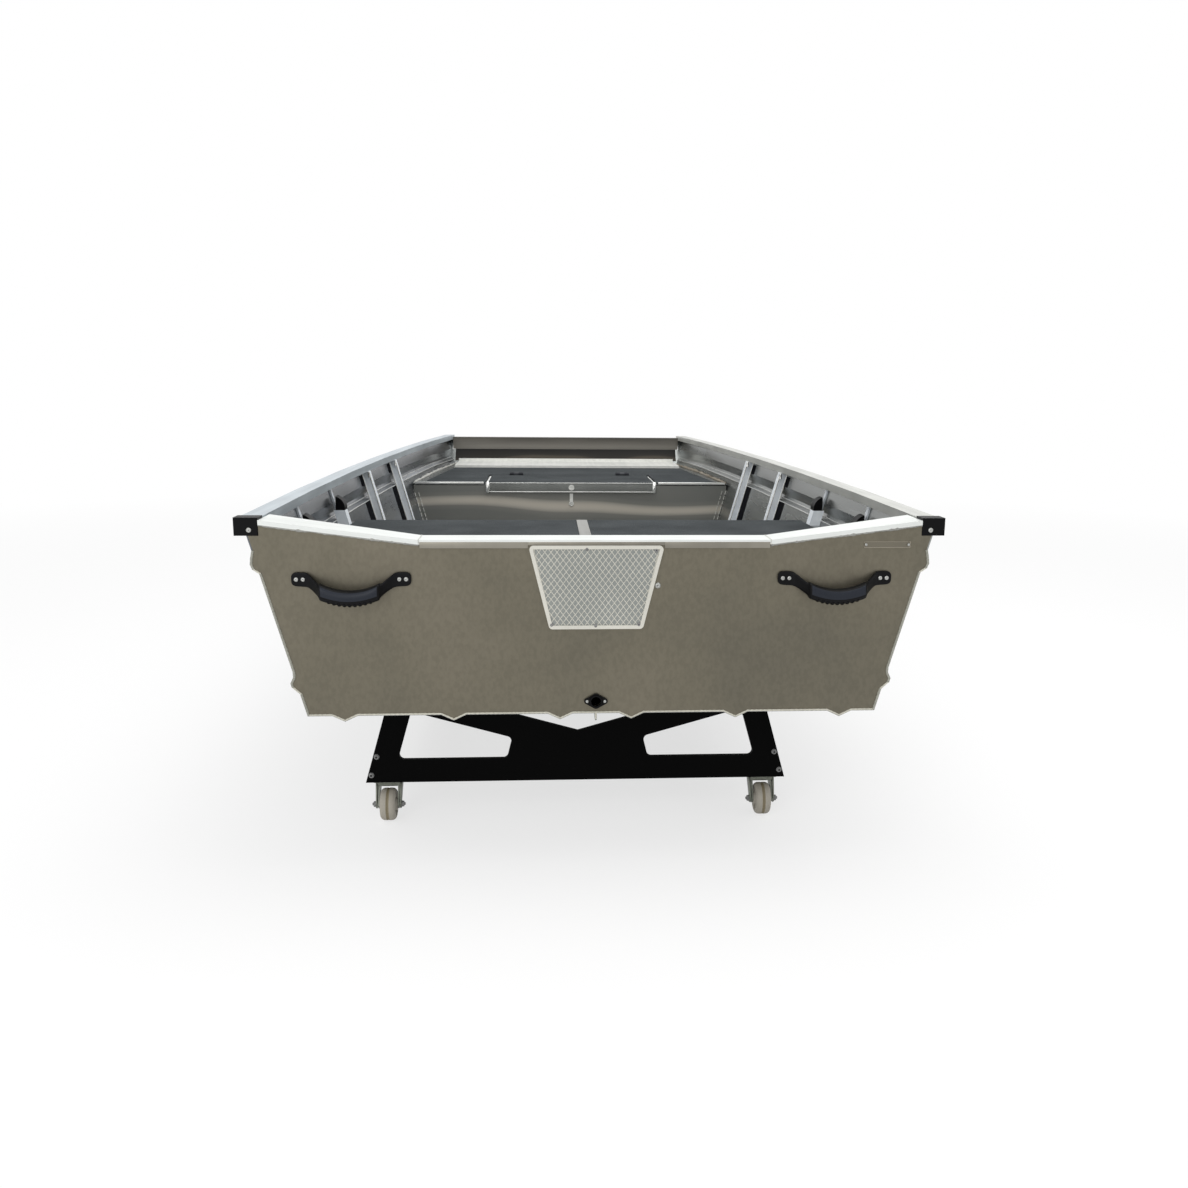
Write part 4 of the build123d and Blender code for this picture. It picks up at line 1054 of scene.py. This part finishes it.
# %% [markdown]
# ## Castors
# A pressed fork is wider than the plain CAD cheeks: its legs are flanged, and its crown is turned
# down at the back. The flanges lie against the CAD fork, so they swivel with it.

# %% Fork flanges and axle nuts
CORNERS = ("aft_port", "aft_starboard", "fore_port", "fore_starboard")
CHEEK_OUT, FLANGE_OUT, TRAIL, CROWN = 0.028, 0.0325, 0.028, 0.0517
NUT_ACROSS, NUT_HIGH, AXLE_END = 0.013, 0.0055, 0.0040
LEG = ((0.016, CROWN), (-0.0200, CROWN), (-0.0395, 0.004), (-0.0335, -0.010), (-0.0225, -0.010),
       (-0.0145, 0.006))


def leg(side):
    """One flanged leg about the swivel axis, its height measured from the axle."""
    mesh = bmesh.new()
    face = mesh.faces.new([mesh.verts.new((side * (CHEEK_OUT - 0.0005), y, z)) for y, z in LEG])
    for vert in points(bmesh.ops.extrude_face_region(mesh, geom=[face], use_keep_orig=True)["geom"]):
        vert.co.x = side * (FLANGE_OUT if vert.co.z > 0.02 else FLANGE_OUT - 0.0015)
    bmesh.ops.recalc_face_normals(mesh, faces=mesh.faces)
    return bevelled(mesh, 0.0010)


def pin(sides, foot_radius, top_radius, height, middle_z):
    """A prism or a slightly conical pin round z."""
    mesh = bmesh.new()
    bmesh.ops.create_cone(mesh, segments=sides, radius1=foot_radius, radius2=top_radius,
                          depth=height, cap_ends=True, matrix=Matrix.Translation((0, 0, middle_z)))
    return mesh


def hex_nut():
    """A hexagon nut with its washer and the end of the axle, standing on z = 0."""
    corner = NUT_ACROSS / 2 / cos(pi / 6)
    nut = bevelled(pin(6, corner, corner, NUT_HIGH, NUT_HIGH / 2 + 0.001), 0.0006, 1)
    washer = pin(24, NUT_ACROSS * 0.72, NUT_ACROSS * 0.72, 0.0015, 0.0003)
    thread = pin(16, AXLE_END, AXLE_END * 0.85, NUT_HIGH + 0.002, NUT_HIGH / 2 + 0.003)
    return joined([nut, washer, thread])


for corner in CORNERS:
    axle = middle_of("wheel_" + corner)
    lip = bar((-FLANGE_OUT, -0.0200, 0.0430), (FLANGE_OUT, -0.0165, CROWN), 0.0008)
    pressed = joined([leg(1), leg(-1), lip])
    shifted(pressed, axle + Vector((0, TRAIL, 0)))
    piece("fork_flanges_" + corner, pressed, castor_steel, "castor_" + corner)
    nuts = [facing(axle + Vector((way * (FLANGE_OUT - 0.0016), 0, 0)), (way, 0, 0), pi / 6)
            for way in (-1, 1)]
    piece("axle_nuts_" + corner, copies(hex_nut(), nuts), bolt_steel,
          "castor_" + corner, smooth=False)

# %% [markdown]
# The tyre is pale solid rubber on a moulded core, turned from one profile with a moulding seam round
# its tread. It takes the place of the plain wheel and rolls with it.

# %% Wheels
TREAD, HALF, HUB, HUB_HALF, BORE = 0.0399, 0.0192, 0.0150, 0.0216, 0.0062
ROUND, ROUND_HALF = 0.010, 0.011


def wheel_profile():
    """A wheel's closed section: from the bore out to the tread, and its mirror image back."""
    web = [(BORE, HUB_HALF), (HUB, HUB_HALF), (HUB + 0.001, HALF - 0.006),
           (TREAD - 0.016, HALF - 0.008), (TREAD - 0.013, HALF - 0.002), (TREAD - ROUND, HALF)]
    shoulder = [(TREAD - ROUND + ROUND * sin(radians(a)),
                 HALF - ROUND_HALF + ROUND_HALF * cos(radians(a))) for a in (20, 40, 60, 80)]
    seam = [(TREAD, 0.0036), (TREAD - 0.0002, 0.0014), (TREAD - 0.0010, 0.0008)]
    outer = web + shoulder + seam
    return outer + [(r, -h) for r, h in reversed(outer)] + [outer[0]]


for corner in CORNERS:
    shape = spun(wheel_profile(), 48)
    for face in shape.faces:
        middle = face.calc_center_median()
        face.material_index = int(abs(middle.z) < 0.0035 and middle.xy.length > 0.03)
    upright = facing(middle_of("wheel_" + corner), (1, 0, 0))
    tyre = piece("tyre_" + corner, copies(shape, [upright]), (wheel_rubber, wheel_seam),
                 "roller_" + corner)
    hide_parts("wheel_" + corner)

# %% [markdown]
# ## Floor, sky and lamps
# The photograph was cut out on white. A white floor under normal lamps looks grey, so the floor
# and the sky show plain white to the camera and to glossy surfaces, and only part of the floor's
# shade is kept.

# %% Floor and sky
FLOOR_HALF, FLOOR_GREY = 60, 0.94
FADE_FROM, FADE_TO, FADE_LEAST = 2.5, 7.0, 0.68
SKY_LIGHT = 0.75
WHITE = (1, 1, 1, 1)


def strength_for_camera(tree, seen, other):
    """One strength for camera, glossy and transmission rays, and another for the rest."""
    path = add(tree, "LightPath", {})
    shown = path.outputs["Is Camera Ray"]
    for output in ("Is Glossy Ray", "Is Transmission Ray"):
        shown = add(tree, "Math", {0: shown, 1: path.outputs[output]},
                    operation="MAXIMUM").outputs["Value"]
    return ranged(tree, shown, other, seen)


world = bpy.data.worlds.new("white_sky")
bpy.context.scene.world = world
world.use_nodes = True
sky = world.node_tree.nodes["Background"]
sky.inputs["Color"].default_value = WHITE
world.node_tree.links.new(strength_for_camera(world.node_tree, 1.0, SKY_LIGHT), sky.inputs["Strength"])

floor_mesh = bmesh.new()
bmesh.ops.create_grid(floor_mesh, x_segments=2, y_segments=2, size=FLOOR_HALF)
floor = placed("floor", baked("floor", floor_mesh))

floor_white, tree, shader, coords = finish("floor_white", 0.9)
shader.inputs["Base Color"].default_value = (FLOOR_GREY, FLOOR_GREY, FLOOR_GREY, 1)
distance = add(tree, "VectorMath", {0: coords}, operation="LENGTH").outputs["Value"]
fade = add(tree, "MapRange", {"From Min": FADE_FROM, "From Max": FADE_TO, "To Min": FADE_LEAST,
                              "To Max": 1.0, "Value": distance}).outputs["Result"]
share = add(tree, "Math", {0: fade, 1: strength_for_camera(tree, 1.0, 0.0)}, operation="MULTIPLY")
glow = add(tree, "Emission", {"Color": WHITE})
both = add(tree, "MixShader", {"Fac": share.outputs["Value"], 1: shader.outputs["BSDF"],
                               2: glow.outputs["Emission"]})
tree.links.new(both.outputs["Shader"], tree.nodes["Material Output"].inputs["Surface"])
floor.data.materials.append(floor_white)
print("floor and sky ready")

# %% [markdown]
# Two large soft lamps give the metal a little direction. One hangs over the boat, and one stands
# behind the camera, low enough to light the transom.

# %% Lamps
def soft_lamp(name, at, towards, size, watts):
    """A square lamp at a point, turned towards another."""
    light = bpy.data.lights.new(name, "AREA")
    light.size = size
    light.energy = watts
    lamp = placed(name, light)
    lamp.location = at
    lamp.rotation_euler = (Vector(towards) - Vector(at)).to_track_quat("-Z", "Y").to_euler()


soft_lamp("lamp_above", (0.6, -0.4, 4.2), (0, 0.2, 0.4), 3.5, 95)
soft_lamp("lamp_behind_camera", (-2.4, -6.0, 2.6), (0, -1.5, 0.5), 2.5, 60)
bpy.context.scene.view_settings.view_transform = "Standard"
print("stage ready")
